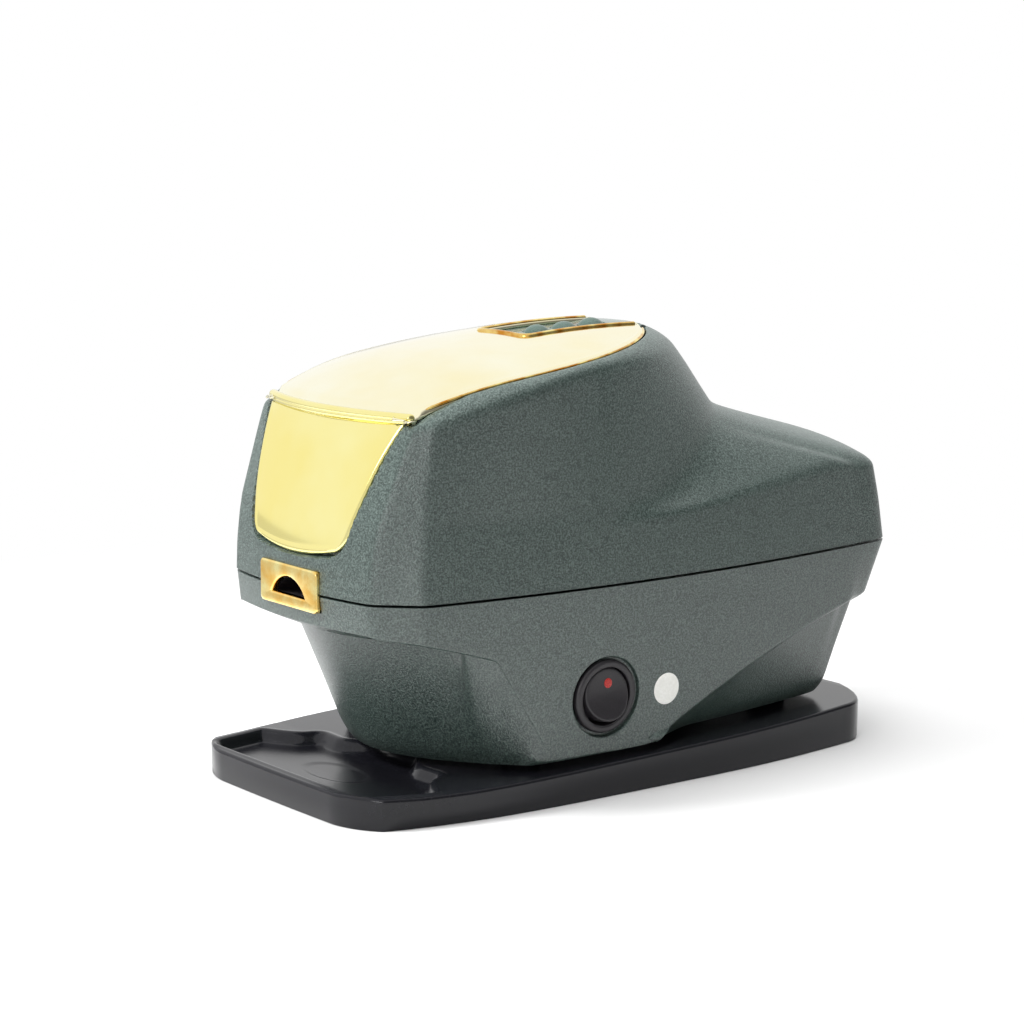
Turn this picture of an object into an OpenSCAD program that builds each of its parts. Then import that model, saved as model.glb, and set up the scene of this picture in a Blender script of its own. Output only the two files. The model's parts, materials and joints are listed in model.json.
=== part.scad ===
// Hot lather machine on its drip tray.
// Frame: millimetres, +Z up, the outlet faces -Y, X = 0 is the plane of symmetry.
// Z = 0 is the surface that the tray stands on.

/* [Housing] */
// Width of the housing at the seam between its two shells
housing_w = 111; // [105:1:118]
// Length of the housing at the seam
housing_l = 208.7; // [203:0.5:222]
// Height of the underside of the housing above the table
base_z = 12.6; // [12:0.1:15]
// Height of the lower shell, from its underside to the seam
lower_h = 52.8; // [50:0.2:58]
// Height of the crown of the lid above the seam
upper_h = 74.2; // [72:0.2:80]
// Wall of the two shells
wall = 2.4; // [1.8:0.1:3]
// Width of the dark joint between the two shells
seam_gap = 0.8; // [0.4:0.1:1.2]

/* [Tray] */
// Greatest width of the drip tray
tray_w = 114; // [110:1:124]
// Length of the drip tray
tray_l = 209.5; // [205:0.5:216]
// How far the tray reaches in front of the housing
tray_reach = 6.8; // [4:0.2:12]
// Height of the tray's front lip
tray_front_h = 9.3; // [8:0.1:11]
// How much higher the tray is at its rear than at its waist
tray_rise = 4.2; // [2:0.1:5]
// Depth of the catch basin below the lip
basin_depth = 3.6; // [2:0.1:5]
// Width of the rim between the basin and the tray's edge
rim_w = 2.4; // [1.6:0.1:4]

/* [Lid and front] */
// Thickness of the lid
lid_t = 2.2; // [1.8:0.1:3]
// Gap all round the lid
lid_gap = 0.5; // [0.4:0.05:0.8]
// Half the width of the notch in the lid that takes the button deck
notch_hw = 11.6; // [11:0.1:13]
// Thickness of the front panel
panel_t = 1.6; // [1.2:0.1:2]
// Gap round the front panel
panel_gap = 0.3; // [0.2:0.05:0.5]
// Radius of the lid's hinge pins
pin_r = 0.8; // [0.7:0.05:0.9]
// Running clearance round a pin or a shaft
running_gap = 0.05; // [0.03:0.01:0.1]

/* [Buttons and switch] */
// Diameter of a button's dome
button_d = 8.8; // [7.5:0.1:9.5]
// Distance from one button to the next
button_pitch = 10.9; // [10.2:0.1:11.5]
// How far a button can be pressed
button_travel = 1.2; // [0.8:0.1:1.5]
// Gap round a button's stem in the deck
button_gap = 0.3; // [0.2:0.05:0.4]
// Diameter of the flange of the round rocker switch
switch_d = 23; // [21:0.5:25]
// Diameter of the part of the rocker switch behind its flange
switch_body_d = 20; // [18:0.5:20.5]
// Diameter of the shallow pocket round the switch
pocket_d = 26; // [25.5:0.5:29]

/* [Outlet and works] */
// Width of the outlet plate
outlet_w = 31; // [28:0.5:34]
// Height of the outlet plate
outlet_h = 13; // [12:0.5:15]
// Width of the half-moon outlet opening
mouth_w = 18.5; // [16:0.5:20]
// Outer radius of the foaming chamber
chamber_r = 13; // [12:0.5:15]
// Radius of the shaft that turns the beater
shaft_r = 2; // [1.5:0.1:2.5]
// Diameter of the motor
motor_d = 27.5; // [24:0.5:30]
// Length of the motor
motor_l = 38; // [32:1:42]
// Radius of the four housing screws' shanks
screw_r = 1.5; // [1.25:0.05:1.75]

/* [Hidden] */

green = [0.12, 0.2, 0.17];
gold = [0.93, 0.68, 0.24];
black = [0.09, 0.09, 0.1];

// The housing was drawn at these sizes; a point of that drawing is carried over to the chosen
// sizes by fx, fy and fz.
draw_w = 111;
draw_l = 208.7;
draw_front = -84.2;
draw_seam = 65.4;
draw_lower = 52.8;
draw_upper = 74.2;

overall_l = housing_l + tray_reach;
front_y = -overall_l / 2 + tray_reach;
rear_y = overall_l / 2;
tray_front = -overall_l / 2;
seam_z = base_z + lower_h;
function fx(v) = v * housing_w / draw_w;
function fy(v) = front_y + (v - draw_front) * housing_l / draw_l;
function fz(v) = seam_z + (v - draw_seam) * (v > draw_seam ? upper_h / draw_upper : lower_h / draw_lower);
function fp(p) = [fx(p[0]), fy(p[1]), fz(p[2])];
function mix(a, b, t) = a + (b - a) * t;
function ease(t) = let (c = min(max(t, 0), 1)) c * c * (3 - 2 * c);

// ---- The housing's outline, in the drawing's own coordinates ----

// Half the width at the seam, bowed about the widest place
wide_y = 15;
function side_x(y) = 55.6 - (y < wide_y ? 5.7 * pow((wide_y - y) / 75, 2) : 7.9 * pow((y - wide_y) / 92.5, 2));
// The front face: upright at the seam, curving back as it rises, and bowed across
face_bow = 0.003;
function face_y(x, z) = draw_front + 0.0049 * pow(max(z - 66, 0), 2) + face_bow * x * x;
// Half the width of the front face, out to the crease of the corner facet
function face_x(z) = 37.4 + 0.0016 * pow(max(z - 70, 0), 2);
lean = 0.115;
// Crown of the lid along the centre line, and how it falls away to the sides
crown_y = 30;
lid_bow = 0.00275;
function crown_z(y) = 139.6 - 0.00135 * pow(crown_y - y, 2) - 3.2 * pow(max(-32 - y, 0) / 34, 2);
function lid_z(x, y) = crown_z(y) - lid_bow * x * x;
// Half the width of the lid: a long bow in front, half an ellipse behind
lid_mid = -17;
lid_half = 44.4;
lid_rear = 60.5;
function lid_x(y) = y < lid_mid ? lid_half - 0.0031 * pow(lid_mid - y, 2)
    : lid_half * sqrt(max(1 - pow((y - lid_mid) / lid_rear, 2), 0));
// Half an oval about the lid's middle: a is its half width, b its reach, p its squareness
function oval(a, b, p, q) = [a * pow(max(cos(q), 0), 2 / p), lid_mid + b * pow(sin(q), 2 / p)];

// A ring of the housing is drawn from the front centre round the right side to the rear centre.
// Its columns are [region, t]: 0 front face, 1 corner facet, 2 fore side, 3 aft side,
// 4 rear corner, 5 rear face.
function columns(n) = [for (r = [0 : 5]) for (i = [0 : n[r] - 1]) [r, i / n[r]], [5, 1]];
fine = [6, 2, 7, 9, 4, 5];
plain = [3, 2, 4, 5, 2, 3];
// Angle on an oval that a column aft of the middle reaches
function sweep_q(q0, r, t) = r == 3 ? mix(q0, 55, t) : r == 4 ? mix(55, 64, t) : mix(64, 90, t);

// Rings of the wall at height z; g is how far the ring lies inside the outer skin
fore_y = -68;
corner_y = 111;
corner_x = 38;
rear_lean = 0.155;
rear_bow = 0.8;
function wall_point(r, t, z, g) =
    let (h = max(z - draw_seam, 0), x1 = face_x(z), dx = lean * h,
        dy = rear_lean * h - rear_bow * h * max(36 - h, 0) / 324,
        p0 = [x1 - 0.4 * g, face_y(x1, z) + g],
        p1 = [side_x(fore_y) - dx - g, fore_y + 0.08 * h + 0.4 * g],
        c0 = [side_x(corner_y) - dx - g, corner_y - dy - 0.3 * g],
        c2 = [corner_x - 0.3 * g, 123 - dy - g])
    r == 0 ? [t * p0[0], face_y(t * p0[0], z) + g]
    : r == 1 ? mix(p0, p1, t)
    : r == 2 ? let (y = mix(p1[1], 0, t)) [side_x(y) - dx - g, y]
    : r == 3 ? let (y = mix(0, c0[1], t)) [side_x(min(y + dy, corner_y)) - dx - g, y]
    : r == 4 ? let (c1 = [c0[0] - 0.2, c2[1] + 0.4], a = mix(c0, c1, t), b = mix(c1, c2, t)) mix(a, b, t)
    : [mix(c2[0], 0, t), 124.5 - dy - g - 1.5 * pow(1 - t, 2)];

// The crease where the side wall turns into the rear deck
function crease_z(y) = 84 + 10 * ease(y / 118);
function crease_point(r, t, g) =
    let (z = r < 3 ? 84 : r == 3 ? crease_z(mix(0, corner_y, t)) : 94,
        p = wall_point(r, t, z, g),
        top = r < 4 ? z : 98.3 - 0.0032 * p[0] * p[0] - (r == 4 ? 0.6 * (1 - t) : 0))
    [p[0], p[1], top - g];
// The foot of the hump, which stands on the deck
foot_a = 53;
foot_b = 88;
function foot_z(y) = 89 + 23 * ease((y - 16) / 58);
function foot_point(r, t, g) =
    r < 3 ? let (p = wall_point(r, t, 89, g)) [p[0], p[1], 89]
    : let (p = oval(foot_a - g, foot_b - g, 2.3, sweep_q(9.2, r, t))) [p[0], p[1], foot_z(p[1]) - 0.5 * g];
// The shoulder, where the hump and the walls turn over to the lid
shoulder_half = 48.9;
shoulder_rear = 71.5;
function shoulder_z(y) = 132.5 - 0.0019 * pow(max(26 - y, 0), 2) + 1.8 * ease((y - 26) / 30);
function band(y) = 6.5 - 2.3 * ease((y + 45) / 45);
function shoulder_point(r, t, g) =
    let (z1 = 117)
    r == 0 ? let (p = wall_point(0, t, z1, g)) [p[0], p[1], z1 - 0.3 * g]
    : r == 1 ? let (p = wall_point(1, t, mix(z1, 118.2, t), g), e = [lid_x(-62) + 6.5 - g, -62])
        [mix(p[0], e[0], t * t), mix(p[1], e[1], t * t), mix(z1, shoulder_z(-62), t) - 0.3 * g]
    : r == 2 ? let (y = mix(-62, 0, t)) [lid_x(y) + band(y) - g, y, shoulder_z(y) - 0.5 * g]
    : let (p = oval(shoulder_half - g, shoulder_rear - g, 2, sweep_q(13.5, r, t)))
        [p[0], p[1], shoulder_z(p[1]) - g];
// The lid and its frame meet on a sloping plane
seat_y = -64;
seat_low = 116.6;
seat_rise = 0.155;
function seat_z(y) = seat_low + seat_rise * (y - seat_y);
// The edge of the lid's pocket: k = 0 at the surface, 1 down on the ledge, 2 at the ledge's inner edge
ledge = 2.6;
// Room behind the lid's two prongs, into which their tips swing
hinge_room = 1;
function lid_front(x) = -66.2 - 5.8 * (1 - pow(x / 37.6, 2));
pocket_back = 2.6;
function pocket_point(r, t, k, g) =
    let (in = k == 2 ? ledge : 0, side = lid_gap - in - g,
        x0 = 37 - in - g, y0 = lid_front(x0) + pocket_back + in + g,
        e = [lid_x(-60) + side, -60],
        p = r == 0 ? [t * x0, lid_front(t * x0) + pocket_back + in + g]
            : r == 1 ? [mix(x0, e[0], t), mix(y0, e[1], t)]
            : r == 2 ? let (y = mix(-60, 0, t)) [lid_x(y) + side, y]
            : oval(lid_half + side, lid_rear + side + hinge_room, 2, sweep_q(16.3, r, t)),
        rim = r == 0 ? 4.2 : r == 1 ? 4.2 - 2.4 * t : r == 2 ? 1.8 * max(1 - 5 * t, 0) : 0)
    [p[0], p[1], k == 0 ? lid_z(p[0], p[1]) - rim : seat_z(p[1])];
function lerp_row(a, b, t, up) = [for (i = [0 : len(a) - 1]) mix(a[i], b[i], t) + [0, 0, up]];

// Closes a list of half rings into a solid with its mirror image
function full_ring(half) = let (n = len(half) - 1) concat([for (p = half) fp(p)],
    [for (i = [n - 1 : -1 : 1]) let (p = fp(half[i])) [-p[0], p[1], p[2]]]);
module shell_solid(halves) {
    n = len(halves[0]) - 1;
    m = 2 * n;
    top = (len(halves) - 1) * m;
    sides = [for (k = [0 : len(halves) - 2]) for (i = [0 : m - 1]) let (a = k * m + i, b = k * m + (i + 1) % m)
        each [[a, a + m, b + m], [a, b + m, b]]];
    lows = [for (i = [0 : n - 1]) each i == 0 ? [[0, 1, m - 1]] : i == n - 1 ? [[i, n, n + 1]]
        : [[i, i + 1, m - i - 1], [i, m - i - 1, m - i]]];
    polyhedron([for (h = halves) each full_ring(h)],
        concat(sides, lows, [for (f = lows) [top + f[0], top + f[2], top + f[1]]]));
}

function upper_rows(c, g) =
    let (crease = [for (p = c) crease_point(p[0], p[1], g)],
        foot = [for (p = c) foot_point(p[0], p[1], g)],
        shoulder = [for (p = c) shoulder_point(p[0], p[1], g)])
    [lerp_row(crease, foot, 0, 0), lerp_row(crease, foot, 0.5, -0.3), foot,
        lerp_row(foot, shoulder, 0.33, 0.2), lerp_row(foot, shoulder, 0.67, 0.5), shoulder];
// The front wall is thicker by the depth of the panel's recess
front_extra = 1.8;
function thick(c, rows) = [for (row = rows) [for (i = [0 : len(c) - 1])
    row[i] + [0, front_extra * (c[i][0] == 0 ? 1 : c[i][0] == 1 ? 1 - c[i][1] : 0), 0]]];
function seam_row(c, z, g) = [for (p = c) let (q = wall_point(p[0], p[1], z, g)) [q[0], q[1], z]];

module upper_skin() {
    c = columns(fine);
    low = [for (p = c) let (q = wall_point(p[0], p[1], draw_seam, 0)) [q[0], q[1], draw_seam + seam_gap / 2]];
    rows = upper_rows(c, 0);
    pocket = [for (k = [0 : 1]) [for (p = c) pocket_point(p[0], p[1], k, 0)]];
    waist = [for (i = [0 : len(c) - 1]) let (z = (low[i][2] + rows[0][i][2]) / 2, q = wall_point(c[i][0], c[i][1], z, 0))
        [q[0], q[1], z]];
    shell_solid(concat([low, waist], rows,
        [lerp_row(rows[5], pocket[0], 0.55, 0.7), pocket[0], pocket[1]]));
}
module upper_cavity() {
    c = columns(plain);
    rows = upper_rows(c, wall);
    under = [for (p = c) pocket_point(p[0], p[1], 2, 0) - [0, 0, wall]];
    throat = [for (p = c) pocket_point(p[0], p[1], 2, 0)];
    shell_solid(concat(thick(c, concat([seam_row(c, draw_seam - 2, wall), seam_row(c, draw_seam + 8, wall)], rows)),
        [under, lerp_row(throat, throat, 0, 25)]));
}

// ---- Lower shell ----
low_lean = 0.05;
// The underside and the tray's top share one slope
rise_from = -55;
rise_l = 173;
tilt = tray_rise / rise_l;
stand = 2;
function tray_top(y) = tray_front_h + tilt * max(y - rise_from, 0);
// The keel's front face, bowed and sloping
keel_bow = 0.0108;
function keel_y(x, z) = -54.5 - 0.47 * (z - 13) + keel_bow * x * x;
// The diagonal edge where the wall steps in to the lower rear
function step_z(y) = y < 16 ? 13.5 : min(13.9 + 0.53 * (y - 16) - 0.0018 * pow(y - 16, 2), 47.4);
function low_wall(y, z, g) = side_x(y) - low_lean * (draw_seam - z) - g;

// Lower edge of the wall
function edge_point(r, t, g) =
    let (s = wall_point(r, t, draw_seam, g))
    r == 0 ? [s[0], s[1] + 1.2, 55.4 + g]
    : r == 1 ? [s[0] - 0.4, s[1] + 0.8, mix(54.9, 53.2, t) + g]
    : r == 2 ? let (y = t < 0.36 ? mix(fore_y, -44, t / 0.36) : t < 0.7 ? mix(-44, -24, (t - 0.36) / 0.34)
            : mix(-24, 0, (t - 0.7) / 0.3),
        z = t < 0.36 ? mix(53.2, 46.6, t / 0.36) : t < 0.7 ? mix(46.6, 14.4, (t - 0.36) / 0.34) : mix(14.4, 14, (t - 0.7) / 0.3))
        [low_wall(y, z, g), y + 0.6 * g, z + (t < 0.7 ? g : 0.3 * g)]
    : r == 3 ? let (y = mix(0, 108, t), z = step_z(y)) [low_wall(y, z, g), y, z + 0.3 * g]
    : [s[0] - 1.4, s[1] - 6.6, 47.4];
// Where the keel starts, stepped in below that edge
function keel_top(r, t, g) =
    let (e = edge_point(r, t, g))
    r == 0 ? let (x = t * (35 - 0.4 * g)) [x, keel_y(x, 50.5) + 1.1 * g, 51 + g]
    : r == 1 ? let (x = mix(35 - 0.4 * g, 44.5 - g, t)) [x, keel_y(x, 49.5) + 1.1 * g, mix(51, 48.9, t) + g]
    : r == 2 ? let (f = max(1 - t / 0.36, 0), x = mix(e[0] - 0.4, 44.5 - g, f))
        [x, mix(e[1] + 0.4, keel_y(44.5 - g, 49.5) + 1.1 * g, f), mix(e[2] - 0.4, 48.9 + g, f)]
    : r == 3 ? let (f = ease((e[1] - 14) / 16)) [e[0] - 0.3 - 2.4 * f, e[1] - 3.5 * f * t, e[2] - 0.5 - f * (1 + t)]
    : [e[0] - 2.8 * (1 - t * (r == 5 ? 1 : 0)), e[1] - 3.4, 45];
// Low ring of the keel, just above its underside
function keel_low(r, t, g) =
    r == 0 ? let (x = t * (29 - 0.4 * g)) [x, keel_y(x, 15.5) + 1.1 * g]
    : r == 1 ? let (x = mix(29 - 0.4 * g, 33 - 0.6 * g, t)) [x, keel_y(x, 15.5) + 1.1 * g]
    : r == 2 ? let (x1 = low_wall(-27, 15.5, g), x = mix(33 - 0.6 * g, x1, min(t / 0.7, 1)),
            y = t < 0.7 ? keel_y(x, 15.5) + 1.1 * g : mix(keel_y(x1, 15.5) + 1.1 * g, 0, (t - 0.7) / 0.3))
        [t < 0.7 ? x : low_wall(y, 15.5, g + 0.3), y]
    : r == 3 ? let (y = mix(0, 98, t)) [low_wall(y, 15.5, g + 0.3) - 8 * ease((y - 12) / 28), y]
    : r == 4 ? let (a = [low_wall(98, 15.5, g) - 8.3, 98], c = [32, 102.8 - g], b = [a[0] - 0.6, c[1] + 0.2])
        mix(mix(a, b, t), mix(b, c, t), t)
    : [mix(32, 0, t), 105 - g - 2.2 * pow(1 - t, 2)];
function low_row(c, g, z, inset) = [for (p = c) let (q = keel_low(p[0], p[1], g + inset)) [q[0], q[1], z + tilt * q[1]]];
module lower_skin() {
    c = columns(fine);
    seam = [for (p = c) let (q = wall_point(p[0], p[1], draw_seam, 0)) [q[0], q[1], draw_seam - seam_gap / 2]];
    edge = [for (p = c) edge_point(p[0], p[1], 0)];
    top = [for (p = c) keel_top(p[0], p[1], 0)];
    foot = low_row(c, 0, 15.2, 0);
    shell_solid([low_row(c, 0, 12.6, 1.8), foot, lerp_row(foot, top, 0.5, 0.4), top, edge,
        lerp_row(edge, seam, 0.3, 0), seam]);
}
module lower_cavity() {
    c = columns(plain);
    seam = seam_row(c, draw_seam + 3, wall);
    edge = [for (p = c) edge_point(p[0], p[1], wall)];
    top = [for (p = c) keel_top(p[0], p[1], wall)];
    floor_z = 12.6 + wall * draw_lower / lower_h;
    foot = low_row(c, wall, floor_z + 1.2, 0);
    shell_solid(concat([low_row(c, wall, floor_z, 1), foot, lerp_row(foot, top, 0.5, 0.4)],
        thick(c, [top, edge, seam])));
}

// ---- Plain shapes ----
$fn = 40;
over = 1;
gap = 0.3;
module rod_x(r, x0, x1) { translate([x0, 0, 0]) rotate([0, 90, 0]) cylinder(r = r, h = x1 - x0); }
module rod_y(r, y0, y1) { translate([0, y1, 0]) rotate([90, 0, 0]) cylinder(r = r, h = y1 - y0); }
// Stretches an outline in X and Z from y0 to y1
module along_y(y0, y1) { translate([0, y1, 0]) rotate([90, 0, 0]) linear_extrude(y1 - y0) children(); }
// Stretches an outline in Y and Z from x0 to x1
module along_x(x0, x1) { translate([x0, 0, 0]) rotate([90, 0, 90]) linear_extrude(x1 - x0) children(); }
module both_sides() {
    children();
    mirror([1, 0, 0]) children();
}
module box(x, y, z) { translate([x[0], y[0], z[0]]) cube([x[1] - x[0], y[1] - y[0], z[1] - z[0]]); }
// Rounded rectangle about the origin
module round_rect(w, l, r) {
    square([w - 2 * r, l], center = true);
    square([w, l - 2 * r], center = true);
    for (x = [-1, 1]) for (y = [-1, 1]) translate([x * (w / 2 - r), y * (l / 2 - r)]) circle(r);
}
module ring(r_out, r_in, h) {
    difference() {
        cylinder(r = r_out, h = h);
        translate([0, 0, -over]) cylinder(r = r_in, h = h + 2 * over);
    }
}

// ---- Places shared by several pieces ----
axis_z = seam_z - 8.4;
plate_face = front_y - 0.5;
plate_back = front_y + 1.6;
plate_z = fz(66.3);
mouth_z = plate_z - 2.9;
mouth_h = 5.6;
tube_wall = 1.5;
chamber_y0 = front_y + 24.2;
chamber_l = 32;
chamber_y1 = chamber_y0 + chamber_l;
chamber_wall = 2;
motor_y0 = chamber_y1 + 18;
motor_shaft_r = 1.5;
tank_z0 = axis_z + max(chamber_r, motor_d / 2) + 8;
tank_w = 66;
tank_y0 = fy(-60.5);
tank_l = 48;
tank_wall = 1.8;
tank_mid = tank_y0 + tank_l / 2;
feed_y = chamber_y1 - 6;
feed_neck_r = 4;
frame_t = 2;
pivot_y = fy(39.4);
pivot_z = fz(137.5);
knuckle_r = pin_r + 0.8;
knuckle_w = 2.5;
tongue_hw = notch_hw - 0.4;
tongue_t = 2.2;
tongue_skirt = 1.6;
function floor_top(y) = fz(12.6) + wall + tilt * (y - fy(0));
// The four screws that hold the shells together: place, and how far up the lower boss reaches
screw_places = [[fx(40), fy(-22)], [fx(24), fy(90)]];
boss_r = screw_r + 2.8;
boss_top = fz(30);
head_r = screw_r * 1.85;
head_z = fz(20);
module at_screws() { for (p = screw_places) both_sides() translate([p[0], p[1], 0]) children(); }
// The rocker switch stands square to the leaning side wall
switch_y = fy(-3.9);
switch_z = fz(30.6);
switch_x = fx(low_wall(-3.9, 30.6, 0));
pocket_depth = 2;
module at_switch() {
    translate([switch_x, switch_y, switch_z]) rotate([0, atan(low_lean * draw_lower / lower_h), 0])
        translate([-pocket_depth, 0, 0]) children();
}
board_z = fz(50);
board_w = 66;
board_l = 48;
board_t = 1.6;
board_gap = 8;
board_y = motor_y0 + motor_l + board_gap + board_l / 2;
post_x = board_w / 2 - 4;
post_y = board_l / 2 - 4;
module at_posts() { for (y = [-1, 1]) both_sides() translate([post_x, board_y + y * post_y, 0]) children(); }
// The inlet stands square to the leaning rear wall
inlet_r = 5;
module at_inlet() { translate([0, fy(110.6), fz(32)]) rotate([-atan(0.39), 0, 0]) children(); }
mount_lift = 6;
mount_x = 14;
mount_y = [motor_y0 - 3 + 8, motor_y0 + 18];

// ---- The tray ----
foot_r = 6;
foot_sink = 0.8;
foot_in = 1.2;
feet = [[fx(36), fy(-24)], [fx(24), fy(88)]];
// Sets what it holds square to the tray's sloping top
module on_slope(p) {
    translate([p[0], p[1], fz(12.6) + tilt * (p[1] - fy(0))]) rotate([atan(tilt), 0, 0]) children();
}
function tx(v) = v * tray_w / 114;
function ty(u) = tray_front + u * tray_l / 209.5;
// Half the width of the tray, u behind its front edge
function tray_half(u) = 56.8 - 12 * pow(max(1 - u / 90, 0), 3) - 5.8 * pow(max(u - 120, 0) / 72, 2.2);
function tray_outline(g) =
    [for (t = [0 : 0.25 : 1]) let (p = mix(mix([36, 0], [45.6, 0], t), mix([45.6, 0], [tray_half(8), 8], t), t))
            [tx(p[0]) - g * t, ty(p[1]) + g * (1 - t)],
        for (i = [1 : 12]) let (u = mix(8, 190, i / 12)) [tx(tray_half(u)) - g, ty(u)],
        for (q = [18 : 18 : 90]) [tx(20 + (tray_half(190) - 20) * cos(q)) - g * cos(q), ty(190 + 17.6 * sin(q)) - g * sin(q)],
        [0, ty(209.5) - g]];
function mirrored(half) = concat(half, [for (i = [len(half) - 1 : -1 : 0]) if (half[i][0] > 0) [-half[i][0], half[i][1]]]);
function top_z(y) = tray_front_h + tilt * max(y - fy(rise_from), 0) + 0.5 * ease((fy(-68) - y) / 18);
// The back of the basin runs under the keel in a shallow double bow
basin_back = [[38.5, -57], [36.8, -51.5], [32.5, -48.9], [26, -49.4], [21.5, -49.6], [17, -46.5], [13, -42.6], [8.5, -41], [0, -42.4]];
function basin_outline(g) = concat(
    [for (t = [0 : 0.25 : 1]) let (p = mix(mix([34, 0], [44, 0], t), mix([44, 0], [tray_half(9), 9], t), t))
        [tx(p[0]) - g * t, ty(p[1]) + g]],
    [for (u = [14, 22, 28]) [tx(tray_half(u)) - g * (1 + 0.02 * pow(u - 9, 1.5)), ty(u)]],
    [for (p = basin_back) [fx(p[0]), fy(p[1])]]);
module drip_tray() {
    floor_z = tray_front_h - basin_depth;
    color(black) difference() {
        intersection() {
            linear_extrude(60) polygon(mirrored(tray_outline(0)));
            along_x(-100, 100) polygon(concat([[ty(-5), 0], [ty(215), 0]],
                [for (y = [ty(215), fy(rise_from), fy(-68), fy(-74), fy(-80), fy(-86), ty(-5)]) [y, top_z(y)]]));
        }
        translate([0, 0, floor_z]) linear_extrude(30) polygon(mirrored(basin_outline(rim_w)));
        for (p = feet) both_sides() on_slope(p) translate([0, 0, -stand - foot_sink]) cylinder(r = foot_r + gap, h = 10);
        translate([0, 0, -over]) linear_extrude(over + 1.2) polygon(mirrored(tray_outline(5)));
    }
}

module lower_housing() {
    posts_z = floor_top(board_y - post_y) - 0.9;
    color(green) difference() {
        union() {
            difference() {
                lower_skin();
                lower_cavity();
            }
            for (p = screw_places) both_sides() translate([p[0], p[1], floor_top(p[1]) - 1])
                cylinder(r = boss_r, h = boss_top - floor_top(p[1]) + 1);
            at_switch() rod_x(pocket_d / 2 + 2, -2.6, -0.4);
            at_posts() translate([0, 0, posts_z]) cylinder(r = 3.5, h = board_z - posts_z);
            for (y = mount_y) both_sides() translate([mount_x, y, floor_top(y) - 1]) cylinder(r = 3.5, h = mount_lift + 1);
        }
        at_screws() {
            translate([0, 0, -over]) cylinder(r = screw_r + 0.2, h = boss_top + 2 * over);
            translate([0, 0, -over]) cylinder(r = head_r + gap, h = head_z + over);
        }
        at_switch() {
            rod_x(pocket_d / 2, 0, 10);
            rod_x(switch_body_d / 2 + 0.2, -10, 10);
        }
        at_posts() translate([0, 0, board_z - 12]) cylinder(r = 1.05, h = 12 + over);
        for (y = mount_y) both_sides() translate([mount_x, y, floor_top(y) + 0.5]) cylinder(r = 1.05, h = mount_lift);
        outlet_cut();
        for (p = feet) both_sides() on_slope(p) translate([0, 0, -over]) cylinder(r = foot_r + 0.1, h = foot_in + over);
        at_inlet() rod_y(inlet_r + 0.2, -10, 10);
    }
}
// The recess for the outlet plate and the way through for the tube behind it
module outlet_cut() {
    box([-outlet_w / 2 - gap, outlet_w / 2 + gap], [front_y - 10, plate_back],
        [plate_z - outlet_h / 2 - gap, plate_z + outlet_h / 2 + gap]);
    box([-mouth_w / 2 - 1.5 * tube_wall - gap, mouth_w / 2 + 1.5 * tube_wall + gap], [front_y - 10, front_y + 10],
        [mouth_z - tube_wall - gap, mouth_z + mouth_h + tube_wall + gap]);
}
// The tongue that carries the buttons
function deck_z(y) = crown_z(y) - 2.2 + 2 * ease((y - 26) / 18);
tongue_y0 = -3.4;
tongue_y1 = 45.4;
button_y = [for (i = [-1 : 1]) fy(20.8) + i * button_pitch];
module tongue_side(y0, y1, drop, lift) {
    n = 10;
    ys = [for (i = [0 : n]) mix(y0, y1, i / n)];
    polygon(concat([for (y = ys) [fy(y), fz(deck_z(y)) - drop]],
        [for (i = [n : -1 : 0]) [fy(ys[i]), fz(seat_z(ys[i])) + frame_t + lift]]));
}
module tongue() {
    difference() {
        union() {
            along_x(-tongue_hw, tongue_hw) tongue_side(tongue_y0, tongue_y1, 0, gap);
            box([-tongue_hw, tongue_hw], [fy(tongue_y1) - over, fy(tongue_y1) + 2.5], [fz(seat_z(48)) + frame_t + 0.5, fz(136)]);
        }
        along_x(-tongue_hw + tongue_skirt, tongue_hw - tongue_skirt)
            tongue_side(tongue_y0 + tongue_skirt, tongue_y1 - 4, tongue_t, -over);
        for (y = button_y) translate([0, y, 0]) cylinder(r = button_d / 2 + button_gap, h = 200);
    }
}
module upper_housing() {
    color(green) {
        difference() {
            upper_skin();
            upper_cavity();
            panel_slab(panel_gap, -10, panel_sink + panel_t);
            outlet_cut();
            both_sides() translate([0, pivot_y, pivot_z]) rod_x(knuckle_r + 0.7, tongue_hw - 4, fx(18.6));
        }
        for (p = screw_places) both_sides() translate([p[0], p[1], boss_top]) upper_boss(p);
        both_sides() box([fx(40), fx(48.5)], [fy(-22) - 1.2, fy(-22) + 1.2], [fz(70), fz(117)]);
        tongue();
    }
}
// The upper boss hangs down to the lower one and takes the screw's thread
module upper_boss(p) {
    difference() {
        cylinder(r = boss_r - 0.5, h = (p[1] < 0 ? fz(119) : fz(101)) - boss_top);
        translate([0, 0, -over]) cylinder(r = screw_r - 0.05, h = 16 + over);
    }
}

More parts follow.
